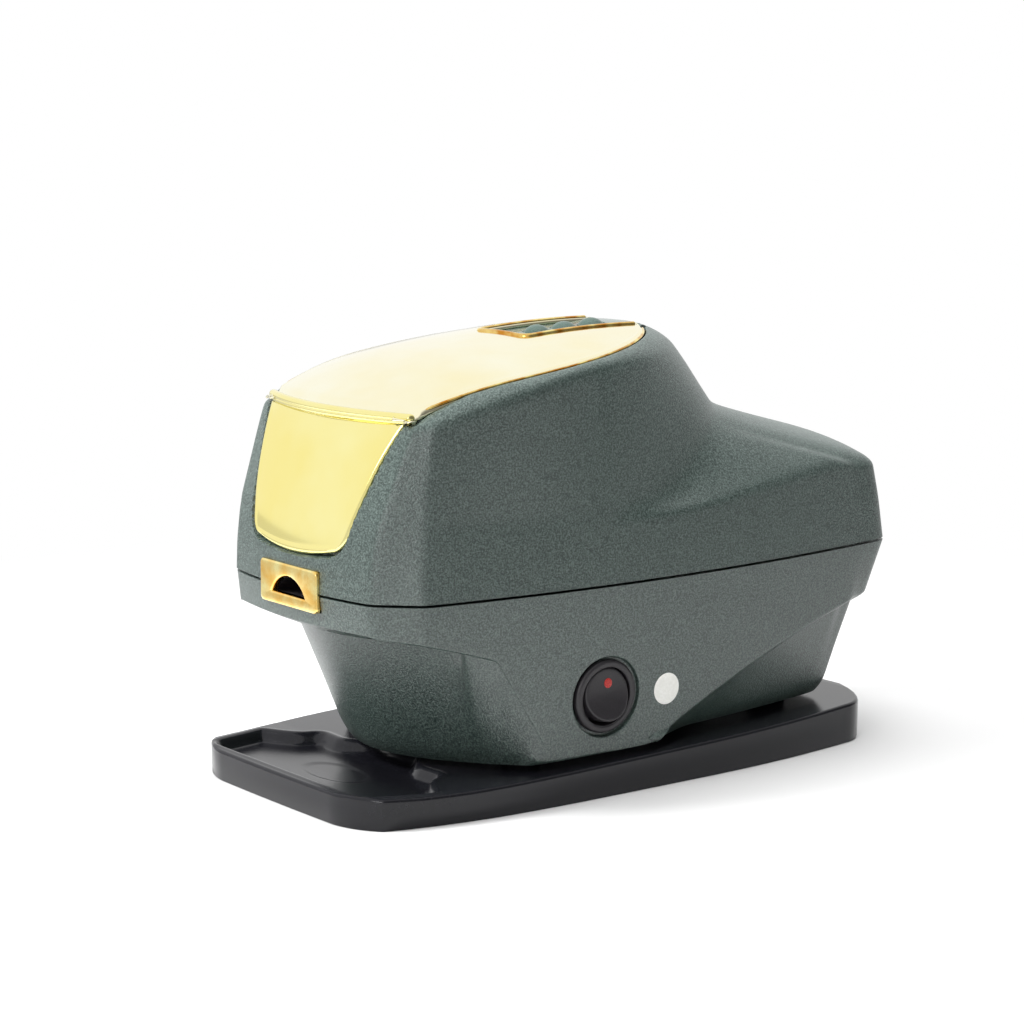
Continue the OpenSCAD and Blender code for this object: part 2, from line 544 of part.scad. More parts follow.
// ---- Front panel ----
panel_sink = 0.8;
panel_low = 78.9;
panel_high = 116.6;
panel_corner = 5;
function panel_half(z) = let (d = max(panel_low + panel_corner - z, 0))
    26.5 + 0.27 * (z - 86) + 0.0035 * pow(max(z - 100, 0), 2)
    - panel_corner + sqrt(max(panel_corner * panel_corner - d * d, 0));
panel_rows = [0, 0.012, 0.04, 0.08, 0.13, 0.3, 0.5, 0.7, 0.85, 1];
panel_cols = 8;
function panel_point(v, u, grow, d) =
    let (z0 = mix(panel_low, panel_high, v), x = u * (panel_half(z0) + grow),
        z = z0 - (1 - v) * 2.4 * (1 - u * u) + (v == 0 ? -grow : v == 1 ? grow : 0))
    fp([x, face_y(x, z), z]) + [0, d, 0];
module panel_slab(grow, d0, d1) {
    nr = len(panel_rows);
    nc = 2 * panel_cols + 1;
    n = nr * nc;
    pts = [for (d = [d0, d1]) for (v = panel_rows) for (j = [-panel_cols : panel_cols]) panel_point(v, j / panel_cols, grow, d)];
    quads = [for (i = [0 : nr - 2]) for (j = [0 : nc - 2]) let (a = i * nc + j) [a, a + nc, a + nc + 1, a + 1]];
    rim = concat([for (j = [0 : nc - 2]) [j, j + 1]], [for (i = [0 : nr - 2]) [i * nc + nc - 1, i * nc + 2 * nc - 1]],
        [for (j = [nc - 1 : -1 : 1]) [n - nc + j, n - nc + j - 1]], [for (i = [nr - 1 : -1 : 1]) [i * nc, i * nc - nc]]);
    polyhedron(pts, concat([for (q = quads) each [[q[0], q[1], q[2]], [q[0], q[2], q[3]]]],
        [for (q = quads) each [[n + q[2], n + q[1], n + q[0]], [n + q[3], n + q[2], n + q[0]]]],
        [for (e = rim) each [[e[0], e[1], n + e[1]], [e[0], n + e[1], n + e[0]]]]));
}
module front_panel() { color(gold) panel_slab(0, panel_sink, panel_sink + panel_t); }

// ---- Outlet ----
module mouth(grow) {
    r = (mouth_w * mouth_w / 4 + mouth_h * mouth_h) / (2 * mouth_h);
    intersection() {
        translate([0, mouth_z + mouth_h - r]) circle(r + grow, $fn = 72);
        translate([-mouth_w, mouth_z - grow]) square([2 * mouth_w, 2 * mouth_h]);
    }
}
module outlet_plate() {
    color(gold) along_y(plate_face, plate_back) difference() {
        translate([0, plate_z]) round_rect(outlet_w, outlet_h, 1.2);
        mouth(0);
    }
}
module outlet_tube() {
    color(black) along_y(plate_back, chamber_y0) difference() {
        mouth(tube_wall);
        mouth(0);
    }
}

// ---- Lid ----
function lip_y(x) = -66.2 - 7.3 * (1 - pow(x / 37.6, 2));
function lip_low(x) = 117.5 + 1.4 * pow(x / 37.6, 2);
function lid_edge(r, t, g) =
    r == 0 ? let (x = t * (37.6 - g)) [x, lip_y(x) + g]
    : r == 1 ? mix([37.6 - g, lip_y(37.6 - g) + g], [lid_x(-60) - g, -60], t)
    : r == 2 ? let (y = mix(-60, 0, t)) [lid_x(y) - g, y]
    : oval(lid_half - g, lid_rear - g, 2, sweep_q(16.3, r, t));
function lid_row(c, s, g, drop) = [for (q = c) let (p = lid_edge(q[0], q[1], g), x = s * p[0],
    y = lid_mid + (p[1] - lid_mid) * (0.88 + 0.12 * s)) [x, y, lid_z(x, y) - drop]];
lid_wall = 1.8;
function rim_low(r, t, p) = r == 0 ? lip_low(p[0]) : r == 1 ? lid_z(p[0], p[1]) - 1
    : seat_z(p[1]) + frame_t + gap;
module lid_skin() {
    c = columns(fine);
    low = [for (q = c) let (p = lid_edge(q[0], q[1], 0)) [p[0], p[1], rim_low(q[0], q[1], p)]];
    shell_solid([low, lid_row(c, 1, 0, 0.5), lid_row(c, 0.985, 0, 0), lid_row(c, 0.75, 0, 0),
        lid_row(c, 0.5, 0, 0), lid_row(c, 0.25, 0, 0)]);
}
module lid_hollow() {
    c = columns(plain);
    shell_solid([lid_row(c, 1, lid_wall, 20), lid_row(c, 1, lid_wall, lid_t), lid_row(c, 0.75, lid_wall, lid_t),
        lid_row(c, 0.5, lid_wall, lid_t), lid_row(c, 0.25, lid_wall, lid_t)]);
}
module notch(grow, z0) {
    box([-notch_hw - grow, notch_hw + grow], [fy(-3.8) - grow, fy(60)], [z0, fz(160)]);
}
module lid() {
    color(gold) difference() {
        union() {
            difference() {
                lid_skin();
                difference() {
                    lid_hollow();
                    notch(1.6, fz(100));
                }
                notch(0, 0);
                both_sides() {
                    box([0, fx(32)], [pivot_y - 4, fy(60)], [0, pivot_z - 0.6]);
                    box([notch_hw + knuckle_w, notch_hw + 2 * knuckle_w + 0.5], [pivot_y - knuckle_r - gap, fy(60)], [0, fz(160)]);
                }
                under_lid();
            }
            both_sides() translate([0, pivot_y, pivot_z]) rod_x(knuckle_r, notch_hw, notch_hw + knuckle_w);
        }
        both_sides() translate([0, pivot_y, pivot_z]) rod_x(pin_r + running_gap, notch_hw - over, notch_hw + knuckle_w + over);
    }
}
module lid_hinge_pins() {
    color("silver") both_sides() translate([0, pivot_y, pivot_z])
        rod_x(pin_r, notch_hw + 0.3, notch_hw + 2 * knuckle_w + 0.2);
}
// ---- The frame under the lid ----
seat_angle = atan2(fz(seat_z(30)) - fz(seat_low), fy(30) - fy(seat_y));
module on_seat() { translate([0, fy(seat_y), fz(seat_low)]) rotate([seat_angle, 0, 0]) children(); }
module seat_outline(g) {
    half = [for (q = columns(plain)) let (p = pocket_point(q[0], q[1], 1, g)) [fx(p[0]), (fy(p[1]) - fy(seat_y)) / cos(seat_angle)]];
    n = len(half) - 1;
    polygon(concat(half, [for (i = [n - 1 : -1 : 1]) [-half[i][0], half[i][1]]]));
}
module under_lid() { on_seat() translate([-100, -100, -50]) cube([200, 300, 50 + frame_t + gap * 0.8]); }
module tank_outline(grow) { translate([0, tank_mid]) round_rect(tank_w + 2 * grow, tank_l + 2 * grow, 8 + grow); }
module top_frame() {
    color(green) difference() {
        union() {
            on_seat() linear_extrude(frame_t) seat_outline(gap);
            difference() {
                frame_well(well_t, well_z - well_t);
                on_seat() translate([-50, -50, frame_t]) cube([100, 300, 100]);
            }
            both_sides() translate([notch_hw + knuckle_w + 0.2, pivot_y, 0]) {
                translate([0, 0, pivot_z]) rod_x(knuckle_r, 0, knuckle_w);
                box([0, knuckle_w], [-knuckle_r, knuckle_r], [fz(seat_z(39.4)) + 1, pivot_z]);
            }
        }
        frame_well(0, well_z);
        linear_extrude(300) tank_outline(gap);
        both_sides() translate([0, pivot_y, pivot_z]) rod_x(pin_r + 0.02, notch_hw + knuckle_w - over, notch_hw + 3 * knuckle_w);
    }
}
module soap_tank() {
    color([0.85, 0.87, 0.88]) {
        difference() {
            union() {
                translate([0, 0, tank_z0]) linear_extrude(100) tank_outline(0);
                translate([0, feed_y, tank_z0 - 4]) cylinder(r = 3.4, h = 5);
            }
            on_seat() translate([-100, -100, frame_t]) cube([200, 300, 200]);
            translate([0, 0, tank_z0 + tank_wall]) linear_extrude(100) tank_outline(-tank_wall);
            translate([0, feed_y, tank_z0 - 10]) cylinder(r = 2, h = 20);
        }
        difference() {
            on_seat() translate([0, 0, frame_t]) linear_extrude(1.2) seat_shift() tank_outline(2.5);
            on_seat() translate([0, 0, frame_t - over]) linear_extrude(4) seat_shift() tank_outline(-tank_wall);
        }
    }
}
module seat_shift() { translate([0, tank_mid / cos(seat_angle) - fy(seat_y) / cos(seat_angle) - tank_mid]) children(); }
module tank_seal() {
    color(black) on_seat() translate([0, 0, frame_t + 1.2]) linear_extrude(0.8) seat_shift() difference() {
        tank_outline(2);
        tank_outline(-0.4);
    }
}
// ---- Buttons ----
function deck_low(y) = fz(deck_z((y - fy(0)) * draw_l / housing_l)) - tongue_t;
module button(y) {
    r = button_d / 2;
    top = fz(deck_z((y - fy(0)) * draw_l / housing_l));
    low = deck_low(y - r);
    dome = 2.4;
    ball = (r * r + dome * dome) / (2 * dome);
    color(green) translate([0, y, 0]) {
        translate([0, 0, low - 0.95]) cylinder(r = r + 0.8, h = 0.8);
        translate([0, 0, low - 0.5]) cylinder(r = r, h = top + 0.3 - low + 0.5);
        intersection() {
            translate([0, 0, top + 0.3 + dome - ball]) sphere(r = ball);
            translate([0, 0, top]) cylinder(r = r, h = dome + 1);
        }
        translate([0, 0, key_top(y)]) cylinder(r = 1.8, h = low - 0.5 - key_top(y));
    }
}
function key_top(y) = deck_low(y - button_d / 2) - 2.4 - 0.15;
board2_t = 1.2;
// The buttons' board lies in a level well of the frame
well_z = fz(126.5);
well_y = [fy(-1), fy(39)];
well_hw = 8.6;
well_t = 1.5;
module frame_well(grow, z0) { box([-well_hw - grow, well_hw + grow], [well_y[0] - grow, well_y[1] + grow], [z0, well_z + 12]); }
module button_front() { button(button_y[0]); }
module button_middle() { button(button_y[1]); }
module button_rear() { button(button_y[2]); }
module button_board() {
    color([0.1, 0.35, 0.2]) box([-well_hw + gap, well_hw - gap], [well_y[0] + gap, well_y[1] - gap], [well_z, well_z + board2_t]);
}
module key_switches() {
    color(black) for (y = button_y) translate([0, y, well_z + board2_t]) {
        translate([-3, -3, 0]) cube([6, 6, 2]);
        cylinder(r = 1.6, h = key_top(y) - button_travel - 0.1 - well_z - board2_t);
    }
}
// ---- Rocker switch ----
flange_t = 1.8;
axle_in = -3;
rocker_r = switch_body_d / 2 - 1.1;
rocker_tilt = 12;
bezel_r = rocker_r + 0.35;
module switch_body() {
    color(black) at_switch() difference() {
        union() {
            rod_x(switch_d / 2, 0, flange_t - 0.5);
            rod_x(switch_d / 2 - 0.8, 0, flange_t);
            rod_x(switch_body_d / 2, -16, over);
            for (z = [-5, 0, 5]) translate([0, 0, z]) box([-23, -15], [-2.4, 2.4], [-0.4, 0.4]);
        }
        rod_x(bezel_r, -11.5, 10);
        translate([axle_in + flange_t, 0, 0]) rod_y(1.25, -20, 20);
    }
}
module switch_rocker() {
    color(black) at_switch() translate([axle_in + flange_t, 0, 0]) rotate([0, -rocker_tilt, 0]) {
        intersection() {
            rod_y(rocker_r, -9, 9);
            rod_x(rocker_r - 0.6, -8, 8);
            along_y(-9, 9) polygon([[-4.5, -10], [-4.5, 10], [2 - axle_in, 10], [0.3 - axle_in, 0], [2 - axle_in, -10]]);
        }
        rod_y(1.2, -9.8, 9.8);
    }
}
// ---- Foaming works, in line behind the outlet ----
module foam_chamber() {
    color([0.8, 0.8, 0.78]) difference() {
        union() {
            translate([0, 0, axis_z]) rod_y(chamber_r, chamber_y0, chamber_y1);
            for (y = [chamber_y0 + 10, chamber_y1 - 5]) both_sides() translate([8, y, 0])
                box([-2, 2], [-2, 2], [floor_top(y), axis_z]);
            translate([0, feed_y, axis_z]) cylinder(r = feed_neck_r, h = chamber_r + 2);
        }
        translate([0, 0, axis_z]) rod_y(chamber_r - chamber_wall, chamber_y0 + chamber_wall, chamber_y1 - chamber_wall);
        translate([0, 0, axis_z]) rod_y(shaft_r + 0.4, chamber_y0 + 10, chamber_y1 + over);
        along_y(chamber_y0 - over, chamber_y0 + 4) mouth(0);
        translate([0, feed_y, axis_z]) cylinder(r = 2, h = chamber_r + 6);
    }
}
// The band clips round the chamber between its feet and its feed neck
band_y = [chamber_y0 + 13.5, feed_y - feed_neck_r - 1];
module heater_band() {
    color("silver") translate([0, 0, axis_z]) difference() {
        union() {
            rod_y(chamber_r + 1.5, band_y[0], band_y[1]);
            box([-2.5, 2.5], [band_y[0] + 1, band_y[1] - 1], [-chamber_r - 6, -chamber_r - 0.5]);
        }
        rod_y(chamber_r + 0.05, chamber_y0 + 10, chamber_y1);
        box([-0.5, 0.5], [chamber_y0 + 10, chamber_y1], [-chamber_r - 10, -chamber_r + 2]);
    }
}
module thermostat() {
    color(black) translate([0, chamber_y0 + 8.5, axis_z]) rotate([0, 90, 0])
        translate([0, 0, chamber_r - 0.6]) difference() {
            union() {
                cylinder(r = 4, h = 5);
                translate([-1.5, -1.5, 4]) cube([3, 3, 3]);
            }
            translate([0, 0, -chamber_r + 0.6]) rod_y(chamber_r, -10, 10);
        }
}
module feed_tube() {
    color([0.9, 0.9, 0.85]) translate([0, feed_y, axis_z + chamber_r + 2])
        ring(3.4, 2, tank_z0 - 4 - axis_z - chamber_r - 2);
}
beater_r = chamber_r - chamber_wall - 1.2;
beater_y = [chamber_y0 + 5, chamber_y1 - 5];
module beater() {
    color([0.8, 0.8, 0.82]) translate([0, 0, axis_z]) {
        rod_y(shaft_r, beater_y[0], chamber_y1 + 5);
        for (k = [0 : 2]) translate([0, mix(beater_y[0] + 2, beater_y[1] - 2, k / 2), 0]) rod_y(beater_r, -0.6, 0.6);
        for (k = [0 : 5]) rotate([0, k * 60, 0]) translate([beater_r - 1.4, 0, 0]) rod_y(0.9, beater_y[0], beater_y[1]);
    }
}
module shaft_seal() {
    color(black) translate([0, 0, axis_z]) difference() {
        rod_y(6, chamber_y1, chamber_y1 + 2.5);
        rod_y(shaft_r + running_gap, chamber_y1 - over, chamber_y1 + 5);
    }
}
module shaft_coupling() {
    color("silver") translate([0, 0, axis_z]) difference() {
        rod_y(5, chamber_y1 + 3.2, motor_y0 - 5);
        rod_y(shaft_r, chamber_y1, chamber_y1 + 5);
        rod_y(motor_shaft_r + running_gap, chamber_y1 + 5 - 0.01, motor_y0);
    }
}
module motor() {
    color("silver") translate([0, 0, axis_z]) {
        rod_y(motor_shaft_r, chamber_y1 + 6, motor_y0);
        rod_y(4.5, motor_y0 - 2.8, motor_y0);
        rod_y(motor_d / 2, motor_y0, motor_y0 + motor_l);
        rod_y(5, motor_y0 + motor_l, motor_y0 + motor_l + 2.5);
        both_sides() box([5.5, 8], [motor_y0 + motor_l - 1, motor_y0 + motor_l + 5], [-0.4, 0.4]);
    }
}
module motor_mount() {
    foot_z = [floor_top(mount_y[0]) + mount_lift, floor_top(mount_y[0]) + mount_lift + 3];
    color([0.6, 0.6, 0.62]) difference() {
        union() {
            box([-20, 20], [motor_y0 - 2.5, motor_y0], [foot_z[0], axis_z + motor_d / 2]);
            on_floor(mount_y[0], mount_lift) box([-20, 20], [motor_y0 - 2.5 - mount_y[0], mount_y[1] + 6 - mount_y[0]], [0, 2.5]);
            both_sides() translate([20 - 2, 0, 0]) along_x(0, 2) polygon([[motor_y0 - 1, foot_z[0] + 1], [motor_y0 - 1, axis_z - 8],
                [mount_y[1] + 4, foot_z[0] + 2]]);
        }
        translate([0, 0, axis_z]) rod_y(4.5 + 0.1, motor_y0 - 10, motor_y0 + over);
        for (y = mount_y) both_sides() translate([mount_x, y, 0]) cylinder(r = 1.7, h = foot_z[1] + 10);
        both_sides() translate([8, 0, axis_z]) rod_y(1.35, motor_y0 - 10, motor_y0 + over);
    }
}
// Sets what it holds on the sloping floor, lift above it
module on_floor(y, lift) { translate([0, y, floor_top(y) + lift]) rotate([atan(tilt), 0, 0]) children(); }
module small_screw(l) {
    cylinder(r = 2.6, h = 1.6);
    translate([0, 0, -l]) cylinder(r = 1.25, h = l + 0.1);
}
module mount_screws() {
    color("silver") {
        for (y = mount_y) both_sides() translate([mount_x, y, floor_top(y) + mount_lift + 2.6]) small_screw(6);
        both_sides() translate([8, motor_y0 - 2.5, axis_z]) rotate([90, 0, 0]) small_screw(2.4);
    }
}
// ---- Electrics ----
module control_board() {
    color([0.1, 0.35, 0.2]) translate([0, board_y, board_z]) difference() {
        linear_extrude(board_t) round_rect(board_w, board_l, 2);
        for (y = [-1, 1]) both_sides() translate([post_x, y * post_y, -over]) cylinder(r = 1.4, h = 4);
    }
}
module board_parts() {
    z = board_z + board_t;
    color(black) translate([0, board_y, z]) {
        translate([-18, 6, 0]) cylinder(r = 6, h = 16);
        translate([-4, 8, 0]) cylinder(r = 4, h = 11);
        box([6, 22], [2, 14], [0, 12]);
        box([-24, -8], [-20, -12], [0, 9]);
        box([-2, 10], [-20, -13], [0, 9]);
        box([14, 25], [-14, -4], [0, 4]);
    }
}
module board_screws() {
    color("silver") at_posts() translate([0, 0, board_z + board_t]) small_screw(8);
}
transformer_y = fy(66);
module transformer() {
    color([0.5, 0.35, 0.25]) on_floor(transformer_y, 0) {
        translate([0, 0, 3]) difference() {
            box([-19, 19], [-8, 8], [0, 26]);
            both_sides() box([5, 12], [-20, 20], [6, 20]);
        }
        box([-12, 12], [-13, 13], [9.2, 22.8]);
        box([-25, 25], [-8, 8], [0, 3.2]);
    }
}
module transformer_screws() {
    color("silver") on_floor(transformer_y, 3.2) both_sides() translate([22, 0, 0]) {
        cylinder(r = 2.6, h = 1.6);
    }
}
module power_inlet() {
    color(black) at_inlet() difference() {
        union() {
            rod_y(inlet_r, -14, 0.5);
            rod_y(inlet_r + 2, 0, 1.6);
        }
        rod_y(3, -10, 5);
    }
}
module rubber_feet() {
    color(black) for (p = feet) both_sides() on_slope(p) translate([0, 0, -stand - foot_sink])
        cylinder(r = foot_r, h = stand + foot_sink + foot_in);
}
module housing_screws() {
    color("silver") at_screws() translate([0, 0, head_z]) {
        translate([0, 0, -2.4]) cylinder(r = head_r, h = 2.4);
        translate([0, 0, -0.1]) cylinder(r = screw_r, h = boss_top - head_z + 12);
    }
}

drip_tray();
lower_housing();
upper_housing();
rubber_feet();
housing_screws();
front_panel();
outlet_plate();
outlet_tube();
lid();
lid_hinge_pins();
top_frame();
soap_tank();
tank_seal();
button_front();
button_middle();
button_rear();
button_board();
key_switches();
switch_body();
switch_rocker();
foam_chamber();
heater_band();
thermostat();
feed_tube();
beater();
shaft_coupling();
shaft_seal();
motor();
motor_mount();
mount_screws();
control_board();
board_parts();
board_screws();
transformer();
transformer_screws();
power_inlet();
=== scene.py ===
# %% [markdown]
# The frame comes first. Every piece below sits on the imported solids, so the script starts by
# loading them and reads the tray's box to set where the drawing lies. Lengths are written in
# millimetres, as a maker would, and turned into metres only when a mesh is made.

# %% Load the frame
import json
import math
import bpy
import bmesh
import numpy as np
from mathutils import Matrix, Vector


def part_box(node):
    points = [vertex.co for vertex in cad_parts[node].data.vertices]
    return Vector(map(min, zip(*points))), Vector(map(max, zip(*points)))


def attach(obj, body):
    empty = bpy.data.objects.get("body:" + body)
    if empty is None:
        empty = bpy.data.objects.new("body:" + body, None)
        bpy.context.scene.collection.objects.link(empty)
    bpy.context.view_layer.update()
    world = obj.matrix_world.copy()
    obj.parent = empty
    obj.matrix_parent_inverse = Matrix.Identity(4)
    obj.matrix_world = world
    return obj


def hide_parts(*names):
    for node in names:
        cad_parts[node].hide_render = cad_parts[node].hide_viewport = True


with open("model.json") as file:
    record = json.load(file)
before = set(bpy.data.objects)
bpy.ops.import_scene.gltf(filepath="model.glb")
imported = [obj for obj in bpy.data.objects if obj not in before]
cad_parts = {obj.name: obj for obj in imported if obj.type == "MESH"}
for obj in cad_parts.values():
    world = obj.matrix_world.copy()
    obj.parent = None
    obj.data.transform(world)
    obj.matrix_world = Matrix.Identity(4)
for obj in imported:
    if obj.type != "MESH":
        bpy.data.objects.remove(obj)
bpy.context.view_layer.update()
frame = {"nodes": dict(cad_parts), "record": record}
nodes = frame["nodes"]
MM = 0.001
SEAM_Z = 65.4
DRAW_FRONT = -84.2
shift_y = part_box("drip_tray")[0].y / MM - (DRAW_FRONT - 6.8)
print("frame:", len(nodes), "nodes, the drawing is moved by", round(shift_y, 3), "mm in Y")


# %% [markdown]
# The camera stands where the photograph's camera stood: a bit above the machine's middle, to the
# right of the outlet. A long lens from 0.9 m keeps the small object's lines almost parallel.

# %% Camera
AZIMUTH, ELEVATION, DISTANCE, LENS = 53.06, 9.48, 900.0, 99.41
TARGET = np.array([0.0, shift_y, 80.13])


def make_camera():
    """Stands DISTANCE from TARGET along the direction with the given azimuth and elevation."""
    a, e = math.radians(AZIMUTH), math.radians(ELEVATION)
    back = np.array([math.sin(a) * math.cos(e), -math.cos(a) * math.cos(e), math.sin(e)])
    data = bpy.data.cameras.new("camera")
    data.sensor_width, data.sensor_fit, data.lens = 36.0, "HORIZONTAL", LENS
    data.clip_start, data.clip_end = 0.05, 20.0
    camera = bpy.data.objects.new("camera", data)
    bpy.context.scene.collection.objects.link(camera)
    camera.location = Vector((TARGET + back * DISTANCE) * MM)
    camera.rotation_euler = Vector(-back).to_track_quat("-Z", "Y").to_euler()
    bpy.context.scene.camera = camera
    return camera


camera = make_camera()
print("camera at", [round(v, 3) for v in camera.location])


# %% [markdown]
# Shader helpers. A node tree is built by small functions, so that each finish below reads as a
# short recipe. Patterns are placed by Object coordinates: every piece keeps its place in its
# mesh, so the pattern stays put when the piece is turned or exported.

# %% Shader helpers
def srgb(r, g, b):
    """Turns a colour as read off a screen, 0 to 255, into the linear value a shader takes."""
    linear = (((c / 255 + 0.055) / 1.055) ** 2.4 if c > 10 else c / 255 / 12.92 for c in (r, g, b))
    return (*linear, 1.0)


def new_node(tree, kind, inputs=(), **settings):
    """Adds a node, sets its properties and its input values or links."""
    node = tree.nodes.new(kind)
    for key, value in settings.items():
        setattr(node, key, value)
    for key, value in dict(inputs).items():
        if isinstance(value, bpy.types.NodeSocket):
            tree.links.new(value, node.inputs[key])
        else:
            node.inputs[key].default_value = value
    return node


def maths(tree, operation, a, b):
    """Works out one number from two; returns the socket of the result."""
    return new_node(tree, "ShaderNodeMath", {0: a, 1: b}, operation=operation).outputs[0]


def spread(tree, value, start, end, low=0.0, high=1.0, kind="LINEAR"):
    """Goes from low to high while value goes from start to end, and is held outside."""
    return new_node(tree, "ShaderNodeMapRange", {"Value": value, "From Min": start, "From Max": end,
                    "To Min": low, "To Max": high}, interpolation_type=kind).outputs[0]


def blend(tree, factor, first, second):
    """Mixes two colours by a socket; returns the socket of the result."""
    node = new_node(tree, "ShaderNodeMix", {0: factor}, data_type="RGBA")
    node.inputs[6].default_value, node.inputs[7].default_value = first, second
    return node.outputs[2]


def group_tree(name, inputs, outputs):
    """A node group with named float inputs (name, default) and outputs (name, socket type)."""
    tree = bpy.data.node_groups.new(name, "ShaderNodeTree")
    tree.interface.new_socket("Vector", in_out="INPUT", socket_type="NodeSocketVector")
    for label, default in inputs:
        socket = tree.interface.new_socket(label, in_out="INPUT", socket_type="NodeSocketFloat")
        socket.default_value = default
    for label, kind in outputs:
        tree.interface.new_socket(label, in_out="OUTPUT", socket_type=kind)
    return tree, tree.nodes.new("NodeGroupInput"), tree.nodes.new("NodeGroupOutput")


def place(tree, group, vector, **values):
    """Puts a group into a tree, fed with a vector and its own values."""
    node = tree.nodes.new("ShaderNodeGroup")
    node.node_tree = group
    tree.links.new(vector, node.inputs["Vector"])
    for key, value in values.items():
        node.inputs[key.replace("_", " ").title()].default_value = value
    return node


def material(name, color, roughness, **sockets):
    """A Principled material; returns it with its tree, shader and Object coordinates."""
    mat = bpy.data.materials.new(name)
    mat.use_nodes = True
    tree = mat.node_tree
    shader = tree.nodes["Principled BSDF"]
    shader.inputs["Base Color"].default_value = color
    shader.inputs["Roughness"].default_value = roughness
    for key, value in sockets.items():
        shader.inputs[key.replace("_", " ").title().replace("Ior", "IOR")].default_value = value
    coords = tree.nodes.new("ShaderNodeTexCoord").outputs["Object"]
    return mat, tree, shader, coords


# %% [markdown]
# Spark-eroded grain is the fine, even roughness of a moulded housing: thousands of tiny pits that
# break the light into sparkle. One group makes it: a noise with two finer octaves gives both the
# height and a slight change of tone, and each material sets how deep and how fine it is.

# %% Grain group
def make_grain():
    """Height = depth * noise, in metres; speckle = the middle of the same noise, stretched to 0..1."""
    tree, enter, leave = group_tree("moulded grain", [("Size Mm", 0.5), ("Depth Mm", 0.05)],
                                    [("Height", "NodeSocketFloat"), ("Speckle", "NodeSocketFloat")])
    per_metre = maths(tree, "DIVIDE", 1 / MM, enter.outputs["Size Mm"])
    noise = new_node(tree, "ShaderNodeTexNoise", {"Vector": enter.outputs["Vector"], "Scale": per_metre,
                     "Detail": 2.0, "Roughness": 0.6}).outputs["Fac"]
    height = maths(tree, "MULTIPLY", maths(tree, "MULTIPLY", noise, enter.outputs["Depth Mm"]), MM)
    tree.links.new(height, leave.inputs["Height"])
    tree.links.new(spread(tree, noise, 0.4, 0.66), leave.inputs["Speckle"])
    return tree


GRAIN = make_grain()


# %% [markdown]
# The finishes: dark green grained plastic for the housing and buttons, mirror-like gold plating
# for the lid, panel and outlet plate, black satin plastic for the switch, a glossier black for the
# tray, and plain metals and boards inside. Two golds carry painted reflection: the lid's is paler,
# for the white overhead it reflects, and the beads' is amber, for the dark surroundings they reflect.

# %% Finishes
def grained_plastic(name, dark, light, roughness, size, depth, **sockets):
    """Plastic whose tone and height follow the grain."""
    mat, tree, shader, coords = material(name, dark, roughness, **sockets)
    grain = place(tree, GRAIN, coords, size_mm=size, depth_mm=depth)
    tree.links.new(blend(tree, grain.outputs["Speckle"], dark, light), shader.inputs["Base Color"])
    bump = new_node(tree, "ShaderNodeBump",
                    {"Height": grain.outputs["Height"], "Distance": 1.0, "Strength": 1.0})
    tree.links.new(bump.outputs["Normal"], shader.inputs["Normal"])
    return mat


def gold_plating(name, deep, pale, scale, smooth, rough):
    """Plated plastic: a metal whose colour and gloss wander a little from place to place."""
    mat, tree, shader, coords = material(name, pale, smooth, metallic=1.0)
    noise = new_node(tree, "ShaderNodeTexNoise", {"Vector": coords, "Scale": scale, "Detail": 3.0})
    cloud = noise.outputs["Fac"]
    tree.links.new(blend(tree, spread(tree, cloud, 0.35, 0.65), deep, pale), shader.inputs["Base Color"])
    tree.links.new(spread(tree, cloud, 0, 1, smooth, rough), shader.inputs["Roughness"])
    return mat


# label: (name, dark, light, roughness, size of grain in mm, its depth in mm, other sockets)
PLASTICS = {
    "green": ("green plastic", (30, 45, 41), (84, 98, 93), 0.32, 0.55, 0.2, {"specular_ior_level": 0.95}),
    "deck green": ("deck green", (58, 74, 68), (68, 84, 78), 0.13, 0.4, 0.002, {"specular_ior_level": 1.0}),
    "button green": ("button green", (58, 74, 68), (66, 84, 77), 0.3, 0.4, 0.006, {}),
    "tray": ("tray black", (17, 17, 21), (24, 24, 29), 0.19, 0.9, 0.003, {"specular_ior_level": 0.35}),
    "black": ("switch black", (30, 28, 31), (40, 37, 41), 0.38, 0.35, 0.008, {}),
    "rubber": ("rubber", (30, 30, 31), (38, 38, 40), 0.8, 0.6, 0.01, {}),
    "steel": ("screw steel", (170, 170, 172), (190, 190, 192), 0.3, 0.3, 0.004, {"metallic": 1.0}),
    "aluminium": ("aluminium", (190, 192, 196), (205, 206, 208), 0.35, 0.3, 0.004, {"metallic": 1.0}),
    "clear": ("tank plastic", (214, 218, 220), (222, 226, 228), 0.3, 1.5, 0.004, {}),
    "board": ("circuit board", (24, 84, 50), (32, 100, 60), 0.35, 0.8, 0.006, {}),
    "red": ("marker red", (150, 24, 20), (200, 48, 38), 0.35, 0.5, 0.01, {}),
    "paper": ("sticker paper", (238, 238, 232), (246, 246, 241), 0.6, 0.8, 0.004, {}),
    "copper": ("wound copper and iron", (110, 78, 60), (140, 104, 80), 0.45, 0.8, 0.05, {}),
}
